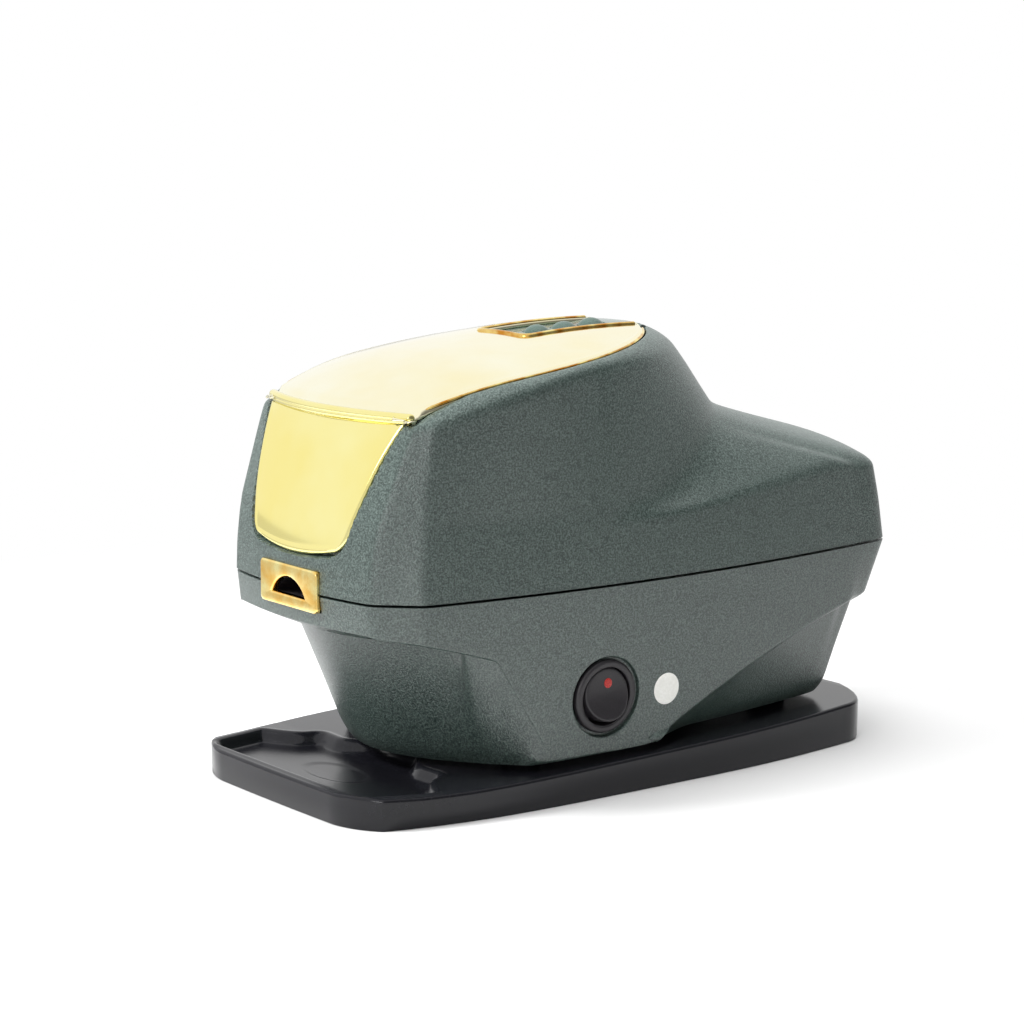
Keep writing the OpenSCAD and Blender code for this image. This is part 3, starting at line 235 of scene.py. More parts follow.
# label: (name, deep, pale, clouds per metre, roughness from, roughness to)
PLATINGS = {
    # painted reflection: the lid's gold is made near white, paler than the panel's, to stand in for the
    # bright overhead it reflects
    "lid gold": ("lid plating with painted reflection", (252, 243, 200), (253, 249, 222), 30.0, 0.06, 0.14),
    "gold": ("panel plating", (250, 236, 148), (252, 243, 172), 30.0, 0.06, 0.16),
    "deep gold": ("outlet plating", (244, 194, 96), (255, 240, 168), 150.0, 0.07, 0.2),
    # painted reflection: the deep amber stands in for dark surroundings reflected in the beads' edges; the
    # beads are the same gold plating
    "edge gold": ("painted reflection plating", (206, 138, 40), (255, 234, 150), 210.0, 0.1, 0.2),
}
FINISH = {label: grained_plastic(name, srgb(*dark), srgb(*light), *grain, **sockets)
          for label, (name, dark, light, *grain, sockets) in PLASTICS.items()}
FINISH.update({label: gold_plating(name, srgb(*deep), srgb(*pale), *look)
               for label, (name, deep, pale, *look) in PLATINGS.items()})
SLOT_FINISH = {"green_plastic": "green", "gold_plastic": "gold", "black_plastic": "black",
               "tray_black": "tray", "rubber": "rubber", "steel": "steel", "aluminium": "aluminium",
               "clear_plastic": "clear", "board": "board", "copper_iron": "copper"}
BUTTONS = ("button_front", "button_middle", "button_rear")
for part in frame["record"]["subparts"]:
    node = part["node"]
    label = "button green" if node in BUTTONS else SLOT_FINISH[part["material_slot"]]
    for material_slot in nodes[node].material_slots:
        material_slot.material = FINISH[label]
print("finishes:", len(FINISH))

# %% [markdown]
# The shells are drawn by two parameters. One runs round half the machine, from the middle of the
# front to the middle of the rear, and is a list of columns, each with a region and a place in it.
# The other runs up the wall. The solids join a few such rings by straight lines; here the same
# rings are sampled finely and then softened, as a polished mould softens its edges.

# %% Outline of the housing
FORE_Y, CORNER_Y, CORNER_X, LID_MID = -68.0, 111.0, 38.0, -17.0
LID_HALF, LID_REAR, HUMP_REAR, REAR_Y = 44.4, 60.5, 71.5, 124.5
LIP_Y, LIP_BOW, LIP_HALF, LID_FORE = -66.2, 7.3, 37.6, -60.0


def mix(a, b, t):
    """Goes from a to b as t goes from 0 to 1."""
    return a + (b - a) * t


def ease(t):
    """Smooth step: 3 t^2 - 2 t^3, held at 0 and 1 outside."""
    t = np.clip(t, 0, 1)
    return t * t * (3 - 2 * t)


def curve(a, b, c, t):
    """Quadratic curve from a to c, pulled towards b."""
    return mix(mix(a, b, t), mix(b, c, t), t)


def by_region(r, *values):
    """Takes the value of each column's region; the last value serves all later regions."""
    return np.select([r == k for k in range(len(values) - 1)], values[:-1], values[-1])


def side_x(y):
    """Half the width at the seam: 55.6 less a parabola on either side of the widest place."""
    return 55.6 - np.where(y < 15, 5.7 * ((15 - y) / 75) ** 2, 7.9 * ((y - 15) / 92.5) ** 2)


def face_y(x, z):
    """The front face leans back with the square of the height and is bowed across."""
    return DRAW_FRONT + 0.0049 * np.maximum(z - 66, 0) ** 2 + 0.003 * x * x


def face_x(z):
    """Half the width of the front face, out to the crease of the corner facet."""
    return 37.4 + 0.0016 * np.maximum(z - 70, 0) ** 2


def lid_z(x, y):
    """Crown of the lid: a parabola along Y, dropping more near the lip, less a parabola across."""
    return 139.6 - 0.00135 * (30 - y) ** 2 - 3.2 * (np.maximum(-32 - y, 0) / 34) ** 2 - 0.00275 * x * x


def lid_x(y):
    """Half the width of the lid: a long bow in front of its middle, half an ellipse behind."""
    behind = LID_HALF * np.sqrt(np.maximum(1 - ((y - LID_MID) / LID_REAR) ** 2, 0))
    return np.where(y < LID_MID, LID_HALF - 0.0031 * (LID_MID - y) ** 2, behind)


def oval(a, b, p, q):
    """Point at angle q, degrees, on an oval of half axes a and b about the lid's middle."""
    c, s = np.maximum(np.cos(np.radians(q)), 0), np.sin(np.radians(q))
    return a * c ** (2 / p), LID_MID + b * s ** (2 / p)


def columns(n):
    """Regions 0 front face, 1 corner facet, 2 fore side, 3 aft side, 4 rear corner, 5 rear face."""
    region = np.concatenate([np.full(k, i) for i, k in enumerate(n)] + [[5]])
    place = np.concatenate([np.arange(k) / k for k in n] + [[1.0]])
    return region, place


def sweep_q(q0, r, t):
    """Angle on an oval that an aft column reaches."""
    return np.select([r == 3, r == 4], [mix(q0, 55, t), mix(55, 64, t)], mix(64, 90, t))


def stack(*xyz):
    """Joins coordinates, numbers or arrays, into points."""
    return np.stack(np.broadcast_arrays(*[np.asarray(v, float) for v in xyz]), -1)


print("lid half width at its middle:", float(lid_x(np.array(LID_MID))), "mm")

# %% [markdown]
# From these formulas come the rings of the upper shell: the wall, the crease where it turns into
# the rear deck, the foot of the hump, the shoulder and the lid's pocket. Every ring has one point
# per column, so two neighbours can be joined by plain rows, with nothing to match up.

# %% Rings of the upper shell
def wall_point(r, t, z):
    """The wall's X and Y at height z: front, facet, sides, a quadratic curve at the corner, rear."""
    h = np.maximum(z - SEAM_Z, 0)
    x1, dx, dy = face_x(z), 0.115 * h, 0.155 * h - 0.8 * h * np.maximum(36 - h, 0) / 324
    p0x, p0y = x1, face_y(x1, z)
    p1x, p1y = side_x(FORE_Y) - dx, FORE_Y + 0.08 * h
    c0x, c0y = side_x(CORNER_Y) - dx, CORNER_Y - dy
    c2x, c2y = CORNER_X, 123 - dy
    c1x, c1y = c0x - 0.2, c2y + 0.4
    y2, y3 = mix(p1y, 0, t), mix(0, c0y, t)
    x = by_region(r, t * p0x, mix(p0x, p1x, t), side_x(y2) - dx, side_x(np.minimum(y3 + dy, CORNER_Y)) - dx,
                  curve(c0x, c1x, c2x, t), mix(c2x, 0, t))
    y = by_region(r, face_y(t * p0x, z), mix(p0y, p1y, t), y2, y3, curve(c0y, c1y, c2y, t),
                  REAR_Y - dy - 1.5 * (1 - t) ** 2)
    return x, y


def wall_ring(r, t, z):
    """A level ring of the wall."""
    x, y = wall_point(r, t, z)
    return stack(x, y, z)


def crease_ring(r, t):
    """Where the side wall turns into the rear deck."""
    z = np.select([r < 3, r == 3], [84.0, 84 + 10 * ease(t * CORNER_Y / 118)], 94.0)
    x, y = wall_point(r, t, z)
    return stack(x, y, np.where(r < 4, z, 98.3 - 0.0032 * x * x - np.where(r == 4, 0.6 * (1 - t), 0)))


def foot_ring(r, t):
    """The foot of the hump on the deck: level in front, an oval that climbs behind."""
    wx, wy = wall_point(r, t, 89.0)
    ox, oy = oval(53, 88, 2.3, sweep_q(9.2, r, t))
    aft = r >= 3
    z = np.where(aft, 89 + 23 * ease((oy - 16) / 58), 89)
    return stack(np.where(aft, ox, wx), np.where(aft, oy, wy), z)


def shoulder_z(y):
    """Height of the shoulder along the machine."""
    return 132.5 - 0.0019 * np.maximum(26 - y, 0) ** 2 + 1.8 * ease((y - 26) / 30)


def shoulder_ring(r, t):
    """Where the hump and walls turn over to the lid."""
    z_face, y_start, out = 117.0, -62.0, 6.5
    x0, y0 = wall_point(0 * r, t, z_face)
    x1, y1 = wall_point(0 * r + 1, t, mix(z_face, z_face + 1.2, t))
    ex = lid_x(y_start) + out
    y2 = mix(y_start, 0, t)
    x2 = lid_x(y2) + out - 2.3 * ease((y2 + 45) / 45)
    ox, oy = oval(48.9, HUMP_REAR, 2, sweep_q(13.5, r, t))
    facet_z = mix(z_face, shoulder_z(y_start), t)
    return stack(by_region(r, x0, mix(x1, ex, t * t), x2, ox),
                 by_region(r, y0, mix(y1, y_start, t * t), y2, oy),
                 by_region(r, z_face + 0 * t, facet_z, shoulder_z(y2), shoulder_z(oy)))


def seat_z(y):
    """The sloping plane on which the lid's frame lies."""
    return 116.6 + 0.155 * (y + 64)


def pocket_ring(r, t, level):
    """Edge of the lid's pocket: level 0 at the surface, 1 down on the ledge, 2 in from the wall."""
    gap, ledge = 0.5, 2.6
    inner = ledge if level == 2 else 0.0
    side = gap - inner
    x0 = 37 - inner
    front = lambda x: LIP_Y - 5.8 * (1 - (x / LIP_HALF) ** 2) + ledge + inner
    ex = lid_x(LID_FORE) + side
    y2 = mix(LID_FORE, 0, t)
    ox, oy = oval(LID_HALF + side, LID_REAR + side + 0.2, 2, sweep_q(16.3, r, t))
    x = by_region(r, t * x0, mix(x0, ex, t), lid_x(y2) + side, ox)
    y = by_region(r, front(t * x0), mix(front(x0), LID_FORE, t), y2, oy)
    rim = by_region(r, 4.2 + 0 * t, 4.2 - 2.4 * t, 1.8 * np.maximum(1 - 5 * t, 0), 0)
    return stack(x, y, lid_z(x, y) - rim if level == 0 else seat_z(y))


print("shoulder beside the lid's middle:", round(float(shoulder_z(LID_MID)), 2), "mm high")


# %% [markdown]
# Below the seam the wall leans in, steps in along a diagonal edge at the rear, and meets the keel,
# the narrow foot on which the machine stands. Its rings use the same columns as the upper ones.

# %% Outline of the lower part
STEP_TOP, LOW_LEAN = 47.4, 0.05
TILT = 4.2 / 173


def step_z(y):
    """The diagonal edge where the wall steps in to the lower rear."""
    return np.where(y < 16, 13.5, np.minimum(13.9 + 0.53 * (y - 16) - 0.0018 * (y - 16) ** 2, STEP_TOP))


def low_wall(y, z):
    """The lower wall leans in a little as it goes down."""
    return side_x(y) - LOW_LEAN * (SEAM_Z - z)


def keel_y(x, z):
    """The keel's sloping front face, bowed across."""
    return -54.5 - 0.47 * (z - 13) + 0.0108 * x * x


def edge_ring(r, t):
    """Lower edge of the wall: level in front, then down to the switch, then up along the rear."""
    sx, sy = wall_point(r, t, SEAM_Z)
    knots = [0, 0.36, 0.7, 1]
    y2, z2 = np.interp(t, knots, [FORE_Y, -44, -24, 0]), np.interp(t, knots, [53.2, 46.6, 14.4, 14])
    y3 = t * 108
    z3 = step_z(y3)
    return stack(by_region(r, sx, sx - 0.4, low_wall(y2, z2), low_wall(y3, z3), sx - 1.4),
                 by_region(r, sy + 1.2, sy + 0.8, y2, y3, sy - 6.6),
                 by_region(r, 55.4 + 0 * t, mix(54.9, 53.2, t), z2, z3, STEP_TOP))


def keel_top_ring(r, t):
    """Where the keel starts, stepped in below that edge."""
    e = edge_ring(r, t)
    ex, ey, ez = e.T
    face_half, turn_x, turn_z, start_z = 35.0, 44.5, 48.9, 51.0
    x0, x1 = t * face_half, mix(face_half, turn_x, t)
    f2, f3 = np.maximum(1 - t / 0.36, 0), ease((ey - 14) / 16)
    rear_in = np.where(r == 5, 1 - t, 1)
    return stack(by_region(r, x0, x1, mix(ex - 0.4, turn_x, f2), ex - 0.3 - 2.4 * f3, ex - 2.8 * rear_in),
                 by_region(r, keel_y(x0, 50.5), keel_y(x1, 49.5), mix(ey + 0.4, keel_y(turn_x, 49.5), f2),
                           ey - 3.5 * f3 * t, ey - 3.4),
                 by_region(r, start_z + 0 * t, mix(start_z, turn_z, t), mix(ez - 0.4, turn_z, f2),
                           ez - 0.5 - f3 * (1 + t), 45))


def keel_low_ring(r, t, z, inset):
    """Low ring of the keel; its height follows the sloping underside."""
    level, face_half, rear_half, rear_y, cy = 15.5, 29.0, 32.0, 98.0, 102.8
    turn_x, bend = face_half + 4 - 0.2 * inset, 0.7
    x0, x1 = t * face_half, mix(face_half, turn_x, t)
    xs = low_wall(-27.0, level) - inset
    x2 = mix(turn_x, xs, np.minimum(t / bend, 1))
    y2 = np.where(t < bend, keel_y(x2, level), mix(keel_y(xs, level), 0, (t - bend) / (1 - bend)))
    y3 = t * rear_y
    ax = low_wall(rear_y, level) - 8.3
    x = by_region(r, x0, x1, np.where(t < bend, x2, low_wall(y2, level) - 0.3),
                  low_wall(y3, level) - 0.3 - 8 * ease((y3 - 12) / 28),
                  curve(ax, ax - 0.6, rear_half, t), mix(rear_half, 0, t))
    y = by_region(r, keel_y(x0, level), keel_y(x1, level), y2, y3, curve(rear_y, cy + 0.2, cy, t),
                  cy + 2.2 * (1 - (1 - t) ** 2))
    turned = ease(t / 0.4)
    y = y - inset * np.select([r < 2, r == 2, r >= 4], [-1.1, -1.1 * (1 - turned), 1.0], 0)
    x = x - inset * np.select([r < 2, r == 2, r <= 4], [0.4 * (t > 0), 0.4 + 0.6 * turned, 1.0], 0)
    return stack(x, y, z + TILT * y)

# %% [markdown]
# Tools for surfaces. A surface is an array of points, rows by columns. It turns into a mesh of
# quads in one go, and softening is a plain average of neighbours, repeated, with a weight that
# says where it may act.

# %% Surface tools
def resample(rings, counts):
    """Fills counts[i] straight rows between ring i and ring i + 1."""
    rows = [mix(a[None], b[None], (np.arange(n) / n)[:, None, None])
            for a, b, n in zip(rings, rings[1:], counts)]
    return np.concatenate(rows + [rings[-1][None]])


def soften(points, weight, axis, passes):
    """Repeats P += weight * (average of the two neighbours - P) along one axis, ends held."""
    p = np.moveaxis(points, axis, 0).copy()
    w = np.moveaxis(np.broadcast_to(weight, points.shape[:2]), axis, 0)[1:-1, :, None] * 0.5
    for _ in range(passes):
        p[1:-1] += w * ((p[2:] + p[:-2]) * 0.5 - p[1:-1])
    return np.moveaxis(p, 0, axis)


def mirrored(half):
    """Closes half rings, whose first and last points lie on X = 0, with their mirror image."""
    return np.concatenate([half, (half * [-1, 1, 1])[:, -2:0:-1]], 1)


def build(name, verts_mm, faces, finish, body, slot, replaces=(), angle=35, wall=None):
    """Makes a mesh from drawing coordinates, merges its seams and turns its faces outward."""
    verts = (np.asarray(verts_mm, float).reshape(-1, 3) + [0, shift_y, 0]) * MM
    faces = np.asarray(faces)
    mesh = bpy.data.meshes.new(name)
    mesh.vertices.add(len(verts))
    mesh.vertices.foreach_set("co", verts.ravel())
    k = faces.shape[1]
    mesh.loops.add(faces.size)
    mesh.loops.foreach_set("vertex_index", faces.ravel())
    mesh.polygons.add(len(faces))
    mesh.polygons.foreach_set("loop_start", np.arange(len(faces)) * k)
    mesh.polygons.foreach_set("loop_total", np.full(len(faces), k))
    mesh.update(calc_edges=True)
    bm = bmesh.new()
    bm.from_mesh(mesh)
    bmesh.ops.remove_doubles(bm, verts=bm.verts, dist=0.01 * MM)
    bmesh.ops.dissolve_degenerate(bm, edges=bm.edges, dist=0.001 * MM)
    bmesh.ops.recalc_face_normals(bm, faces=bm.faces)
    if wall is None and bm.calc_volume(signed=True) < 0:
        bmesh.ops.reverse_faces(bm, faces=bm.faces)
    bm.to_mesh(mesh)
    bm.free()
    mesh.polygons.foreach_set("use_smooth", np.ones(len(mesh.polygons), bool))
    mesh.set_sharp_from_angle(angle=math.radians(angle))
    mesh.materials.append(FINISH[finish])
    piece = bpy.data.objects.new(name, mesh)
    bpy.context.scene.collection.objects.link(piece)
    if wall:
        solid = piece.modifiers.new("wall", "SOLIDIFY")
        solid.thickness, solid.offset = wall * MM, -1.0
    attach(piece, body)
    if replaces:
        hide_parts(*replaces)
    print(name, len(mesh.polygons), "faces")
    return piece


print("tools ready, lengths in mm, one unit is", MM, "m")

# %% [markdown]
# Helpers that several pieces share: the faces of a grid, the weights that say where a surface is
# softened, rounds and mirror images, and the hole in front that takes the outlet.

# %% Helpers for grids
OUTLET_SEAT, OUTLET_HOLE, OUTLET_BACK, FRONT_Y = 15.2, 12.0, 2.2, -70


def quads(rows, cols, closed=True):
    """Vertex numbers of the quads of a grid whose rows may close on themselves."""
    n = cols if closed else cols - 1
    i, j = np.meshgrid(np.arange(rows - 1), np.arange(n), indexing="ij")
    a, b = i * cols + j, i * cols + (j + 1) % cols
    return np.stack([a, b, b + cols, a + cols], -1).reshape(-1, 4)


def fade(index, centre, reach):
    """Weight that is 1 within half a reach of centre and 0 from one and a half on."""
    return ease(1.5 - np.abs(index - centre) / reach)


def row_fades(row_at, reaches):
    """Sum of the fades round the given rings, one value per row, as a column."""
    rows = np.arange(row_at[-1] + 1)[:, None]
    return sum(fade(rows, row_at[ring], reach) for ring, reach in reaches.items())


def column_fades(region, reaches):
    """Sum of the fades round the borders before the given regions, one value per column."""
    index = np.arange(len(region))
    return sum(fade(index, np.argmax(region == k), reach) for k, reach in reaches.items())


def circle(n):
    """n angles round a full turn."""
    return np.linspace(0, 2 * math.pi, n, endpoint=False)


def quarter(distance, radius):
    """Height, 0 to 1, of a quarter round that starts at distance 0 and is level from radius on."""
    return np.sqrt(np.clip(1 - (1 - np.clip(distance / radius, 0, 1)) ** 2, 0, 1))


def both_sides(half, faces):
    """Points and faces of a half surface and its mirror image across X = 0."""
    points = half.reshape(-1, 3)
    both_faces = np.concatenate([faces, faces[:, ::-1] + len(points)])
    return np.concatenate([points, points * [-1, 1, 1]]), both_faces


def outlet_hole(grid, seat, hole, sign):
    """Sets the wall back round the outlet, up to height seat, or down to it where sign is -1;
    returns which points lie in the hole for the outlet's tube, which ends at height hole."""
    x, z = np.abs(grid[..., 0]), sign * grid[..., 2]
    grid[..., 1] += np.where((x < OUTLET_SEAT) & (z < sign * seat) & (grid[..., 1] < FRONT_Y), OUTLET_BACK, 0)
    return (x < OUTLET_HOLE) & (z < sign * hole) & (grid[..., 1] < FRONT_Y)


def without(faces, dropped):
    """The faces that touch no dropped point."""
    return faces[~dropped.ravel()[faces].any(1)]


# %% [markdown]
# Upper shell. From the seam the wall rises to the crease, climbs the hump and turns over to the
# lid's pocket, where it drops to the ledge. On the front face the panel's recess is pressed in:
# the skin moves back wherever it lies inside the panel's outline.

# %% Upper shell
FINE = (60, 14, 48, 44, 12, 20)
SHELL_SKIN, LIP_IN = 1.6, 0.035
PANEL_LOW, PANEL_HIGH, PANEL_CORNER, PANEL_SAG, RECESS = 78.9, 118.4, 5.0, 2.4, 2.4


def panel_half(z):
    """Half the panel's width: a flare with rounded lower corners."""
    d = np.maximum(PANEL_LOW + PANEL_CORNER - z, 0)
    round_off = PANEL_CORNER - np.sqrt(np.maximum(PANEL_CORNER ** 2 - d * d, 0))
    return 26.5 + 0.27 * (z - 86) + 0.0035 * np.maximum(z - 100, 0) ** 2 - round_off


def in_panel(x, z):
    """1 inside the panel's outline, 0 outside, with a short ramp between."""
    climb = np.clip((z - PANEL_LOW) / (PANEL_HIGH - PANEL_LOW), 0, 1)
    z0 = z + PANEL_SAG * (1 - climb) * (1 - np.clip(x / 27, -1, 1) ** 2)
    side = panel_half(np.maximum(z0, PANEL_LOW)) + 0.35 - np.abs(x)
    ends = np.minimum(z0 - PANEL_LOW + 0.35, PANEL_HIGH + 1.5 - z0)
    return np.clip(np.minimum(side, ends) / 0.6 + 0.2, 0, 1)


region, place = columns(FINE)
bottom = wall_ring(region, place, 65.8)
lip_in = bottom + (np.array([[0, 20, 65.8]]) - bottom) * [LIP_IN, LIP_IN, 0]
crease, foot, shoulder = crease_ring(region, place), foot_ring(region, place), shoulder_ring(region, place)
waist_z = (bottom[:, 2] + crease[:, 2]) / 2
rings = [lip_in, bottom, wall_ring(region, place, waist_z), crease,
         mix(crease, foot, 0.5) - [0, 0, 0.3], foot,
         mix(foot, shoulder, 0.33) + [0, 0, 0.2], mix(foot, shoulder, 0.67) + [0, 0, 0.5], shoulder]
pockets = [pocket_ring(region, place, k) for k in range(3)]
rings += [mix(shoulder, pockets[0], 0.55) + [0, 0, 0.7]] + pockets
counts = [3, 16, 18, 8, 8, 14, 14, 14, 7, 5, 8, 3]
upper = resample(rings, counts)
row_at = np.cumsum([0] + counts)
rows = np.arange(len(upper))[:, None]
crisper = 1 - 0.3 * ease((upper[..., 1] + 10) / 30)
weight = (row_fades(row_at, {3: 3}) * crisper
          + row_fades(row_at, {2: 9, 4: 6, 5: 12, 6: 10, 7: 10, 8: 6, 9: 4}))
upper = soften(upper, np.clip(weight, 0, 1), 0, 14)
upper = soften(upper, np.clip(column_fades(region, {1: 4, 2: 3, 3: 8, 4: 3, 5: 3}), 0, 1)[None], 1, 4)
upper = mirrored(upper)
outer = (rows >= row_at[1]) & (rows <= row_at[9]) & (upper[..., 1] < -55)
upper[..., 1] += RECESS * in_panel(upper[..., 0], upper[..., 2]) * outer
through = outlet_hole(upper, 72.5, 71.3, 1)
faces = without(quads(*upper.shape[:2]), through)
build("upper_shell", upper, faces, "green", "machine", "green_plastic", wall=SHELL_SKIN)

# %% [markdown]
# The deck with the three buttons is a tongue of the upper shell that reaches forward between the
# lid's two prongs. It follows the lid's crown a little lower, with a round hole for each button.

# %% Button deck
BUTTON_Y, HOLE_R, ON_CIRCLE = (9.9, 20.8, 31.7), 4.65, 0.23
DECK_HALF, DECK_FRONT, DECK_ROLL, DECK_SKIN = 11.2, -3.4, 0.8, 1.2


def deck_z(y):
    """The crown, 1.5 mm lower in front and rising to 0.2 mm below it at the rear shoulder."""
    return lid_z(0, y) - 1.5 + 1.3 * ease((y - 26) / 18)


def deck_surface():
    """Grid over the tongue with a rolled edge of 0.8 mm and a skirt down to the frame; points
    near a button's hole are pulled onto its circle."""
    near_edge = np.array([0, 0, 0.1, 0.4])
    middle = np.linspace(0.8 - DECK_HALF, DECK_HALF - 0.8, 53)
    across = np.concatenate([near_edge - DECK_HALF, middle, DECK_HALF - near_edge[::-1]])
    along = np.concatenate([near_edge + DECK_FRONT, np.linspace(-2.6, 46.5, 112)])
    x, y = np.meshgrid(across, along)
    edge = np.minimum(DECK_HALF - np.abs(x), y - DECK_FRONT)
    for centre in BUTTON_Y:
        d = np.maximum(np.hypot(x, y - centre), 1e-6)
        pull = np.where(np.abs(d - HOLE_R) < ON_CIRCLE, HOLE_R / d, 1)
        x, y = x * pull, centre + (y - centre) * pull
    crown = (lid_z(x, y) - lid_z(0, y)) * ease((y - 26) / 18) - 1.6 * ease((y - 43.0) / 3.5)
    z = deck_z(y) + crown - DECK_ROLL * (1 - quarter(edge, DECK_ROLL))
    grid = stack(x, y, z)
    low = seat_z(grid[..., 1]) + 2.3
    grid[0, :, 2], grid[:, 0, 2], grid[:, -1, 2] = low[0], low[:, 0], low[:, -1]
    return grid


deck = deck_surface()
in_hole = np.any([np.hypot(deck[..., 0], deck[..., 1] - c) < HOLE_R + 0.01 for c in BUTTON_Y], 0)
faces = quads(*deck.shape[:2], closed=False)
faces = faces[~in_hole.ravel()[faces].all(1)]
build("button_deck", deck, faces, "deck green", "machine", "green_plastic", wall=DECK_SKIN)
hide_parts("upper_housing")

# %% [markdown]
# Lower shell. It hangs from the seam, turns under a lip in front of the keel, and follows the
# diagonal edge at the rear. The right wall keeps a hole for the pocket of the switch.

# %% Lower shell
region, place = columns((40, 12, 60, 70, 12, 18))
SWITCH_Y, SWITCH_Z, SWITCH_HOLE = -3.9, 30.6, 13.0
seam_low = wall_ring(region, place, SEAM_Z) - [0, 0, 0.4]
seam_in = seam_low + (np.array([[0, 20, 65.0]]) - seam_low) * [LIP_IN, LIP_IN, 0]
edge, top = edge_ring(region, place), keel_top_ring(region, place)
foot = keel_low_ring(region, place, 15.2, 0.0)
low = keel_low_ring(region, place, 12.6, 1.8)
rings = [low * [0, 1, 1], low, foot, mix(foot, top, 0.5) + [0, 0, 0.4], top,
         edge, mix(edge, seam_low, 0.3), seam_low, seam_in]
counts = [3, 3, 14, 16, 3, 14, 34, 2]
lower = resample(rings, counts)
row_at = np.cumsum([0] + counts)
span = np.arange(row_at[1], row_at[5] + 1)
climb = ((span - row_at[1]) / (row_at[5] - row_at[1]))[:, None]
straight = mix(lower[row_at[1]], lower[row_at[5]], climb[..., None])
straight[..., 0] = low_wall(straight[..., 1], straight[..., 2]) - 1.8 * (1 - climb) ** 8
share = ease((edge[:, 1] + 31) / 10) * ease((19 - edge[:, 1]) / 6)
lower[span] = mix(lower[span], straight, share[None, :, None])
rows = np.arange(len(lower))[:, None]
weight = row_fades(row_at, {2: 2, 3: 9, 6: 9}) + 0.5 * row_fades(row_at, {5: 1.5})
lower = soften(lower, np.clip(weight, 0, 1), 0, 8)
keel_turn = np.argmax((region == 2) & (place > 0.69))
turn = fade(np.arange(len(region)), keel_turn, 7)
lower = soften(lower, np.clip(column_fades(region, {1: 3, 2: 3, 4: 3, 5: 3}) + turn, 0, 1)[None], 1, 8)
keel = ((rows >= row_at[1]) & (rows < row_at[4])) * ease((row_at[4] - rows) / 5)
lower = soften(lower, keel * column_fades(region, {2: 8})[None], 1, 40)
lower = mirrored(lower)
right = lower[..., 0] > 30
from_switch = np.hypot(lower[..., 1] - SWITCH_Y, lower[..., 2] - SWITCH_Z)
holes = outlet_hole(lower, 60.2, 61.3, -1) | (from_switch < SWITCH_HOLE) & right
faces = without(quads(*lower.shape[:2]), holes)
build("lower_shell", lower, faces, "green", "machine", "green_plastic", ("lower_housing",), wall=SHELL_SKIN)

# %% [markdown]
# The rocker switch sits in a round pocket. The wall's grid is too coarse for a clean circle, so
# the pocket is a round patch of its own: rings that lie on the wall, roll over the edge, go down
# and run in under the switch. A quadratic fitted to the wall's own points keeps it flush.

# %% Switch pocket
POCKET_R, POCKET_DEEP, LEAN, ROUND = 12.6, 2.0, math.atan(LOW_LEAN), 96


def wall_terms(y, z):
    """Terms of a quadratic in the distances from the switch."""
    y, z = y - SWITCH_Y, z - SWITCH_Z
    return np.stack([np.ones_like(y), y, z, y * y, y * z, z * z], -1)


around = lower[right & (from_switch > SWITCH_HOLE) & (from_switch < 19) & (lower[..., 2] > 16)]
WALL_FIT = np.linalg.lstsq(wall_terms(around[:, 1], around[:, 2]), around[:, 0], rcond=None)[0]


def pocket_surface():
    """Rings by (radius, depth); x is the fitted wall less the depth."""
    q = circle(ROUND)
    rings = np.array([(15.3, 0.02), (15.3, -0.05), (14.4, -0.05), (13.6, -0.04), (13.1, -0.02), (12.85, 0.05),
                      (12.68, 0.2), (POCKET_R, 0.45), (POCKET_R, 1.7), (12.4, 1.92), (12.1, POCKET_DEEP),
                      (10.4, POCKET_DEEP), (10.4, 3.0), (15.0, 3.0)])
    y = SWITCH_Y + rings[:, :1] * np.cos(q)
    z = SWITCH_Z + rings[:, :1] * np.sin(q)
    return stack(wall_terms(y, z) @ WALL_FIT - rings[:, 1:], y, z)


def closed_on_itself(grid):
    """Repeats a grid's first row at its end, so that the last row joins the first."""
    grid = np.concatenate([grid, grid[:1]])
    return grid, quads(*grid.shape[:2])


misfit = wall_terms(around[:, 1], around[:, 2]) @ WALL_FIT - around[:, 0]
print("wall fit residual:", float(np.abs(misfit).max()), "mm")
build("switch_pocket", *closed_on_itself(pocket_surface()), "green", "machine", "green_plastic")

# %% [markdown]
# The switch: a bezel ring turned round the switch's axis, and a rocker cap whose face is a
# shallow V, sunk at the top and proud at the bottom. A small red marker lies on its upper half.

# %% Rocker switch
ROCKER_R, ROCKER_TILT, AXLE = 8.3, math.radians(12), -1.2


def at_switch(out, y, up):
    """Places points given by their distance out of the pocket's floor, along Y and up the wall."""
    out = out - POCKET_DEEP
    base = np.array([float(low_wall(SWITCH_Y, SWITCH_Z)), SWITCH_Y, SWITCH_Z])
    c, s = math.cos(LEAN), math.sin(LEAN)
    return base + stack(out * c + up * s, y, up * c - out * s)


def bezel_surface():
    """A ring turned from (radius, height): inner wall, rounded crown, outer wall, underside."""
    q = circle(ROUND)
    ring = np.array([(9.15, -0.5), (9.15, 1.2), (9.22, 1.6), (9.45, 1.85), (9.8, 1.95), (10.6, 1.98),
                     (11.0, 1.85), (11.35, 1.6), (11.55, 1.2), (11.6, 0.1), (11.4, 0.02), (10.5, -0.5)])
    return at_switch(ring[:, 1:] + 0 * q, ring[:, :1] * np.cos(q), ring[:, :1] * np.sin(q))


def rocker_face(up):
    """Height of the face over the axle: a V whose bottom is rounded."""
    return 3.1 + 0.17 * (np.sqrt(up * up + 16) - 2.2)


def on_rocker(out, y, up):
    """Turns points by the rocker's tilt about its axle, then places them at the switch."""
    c, s = math.cos(ROCKER_TILT), math.sin(ROCKER_TILT)
    return at_switch(AXLE + out * c - up * s, y, out * s + up * c)


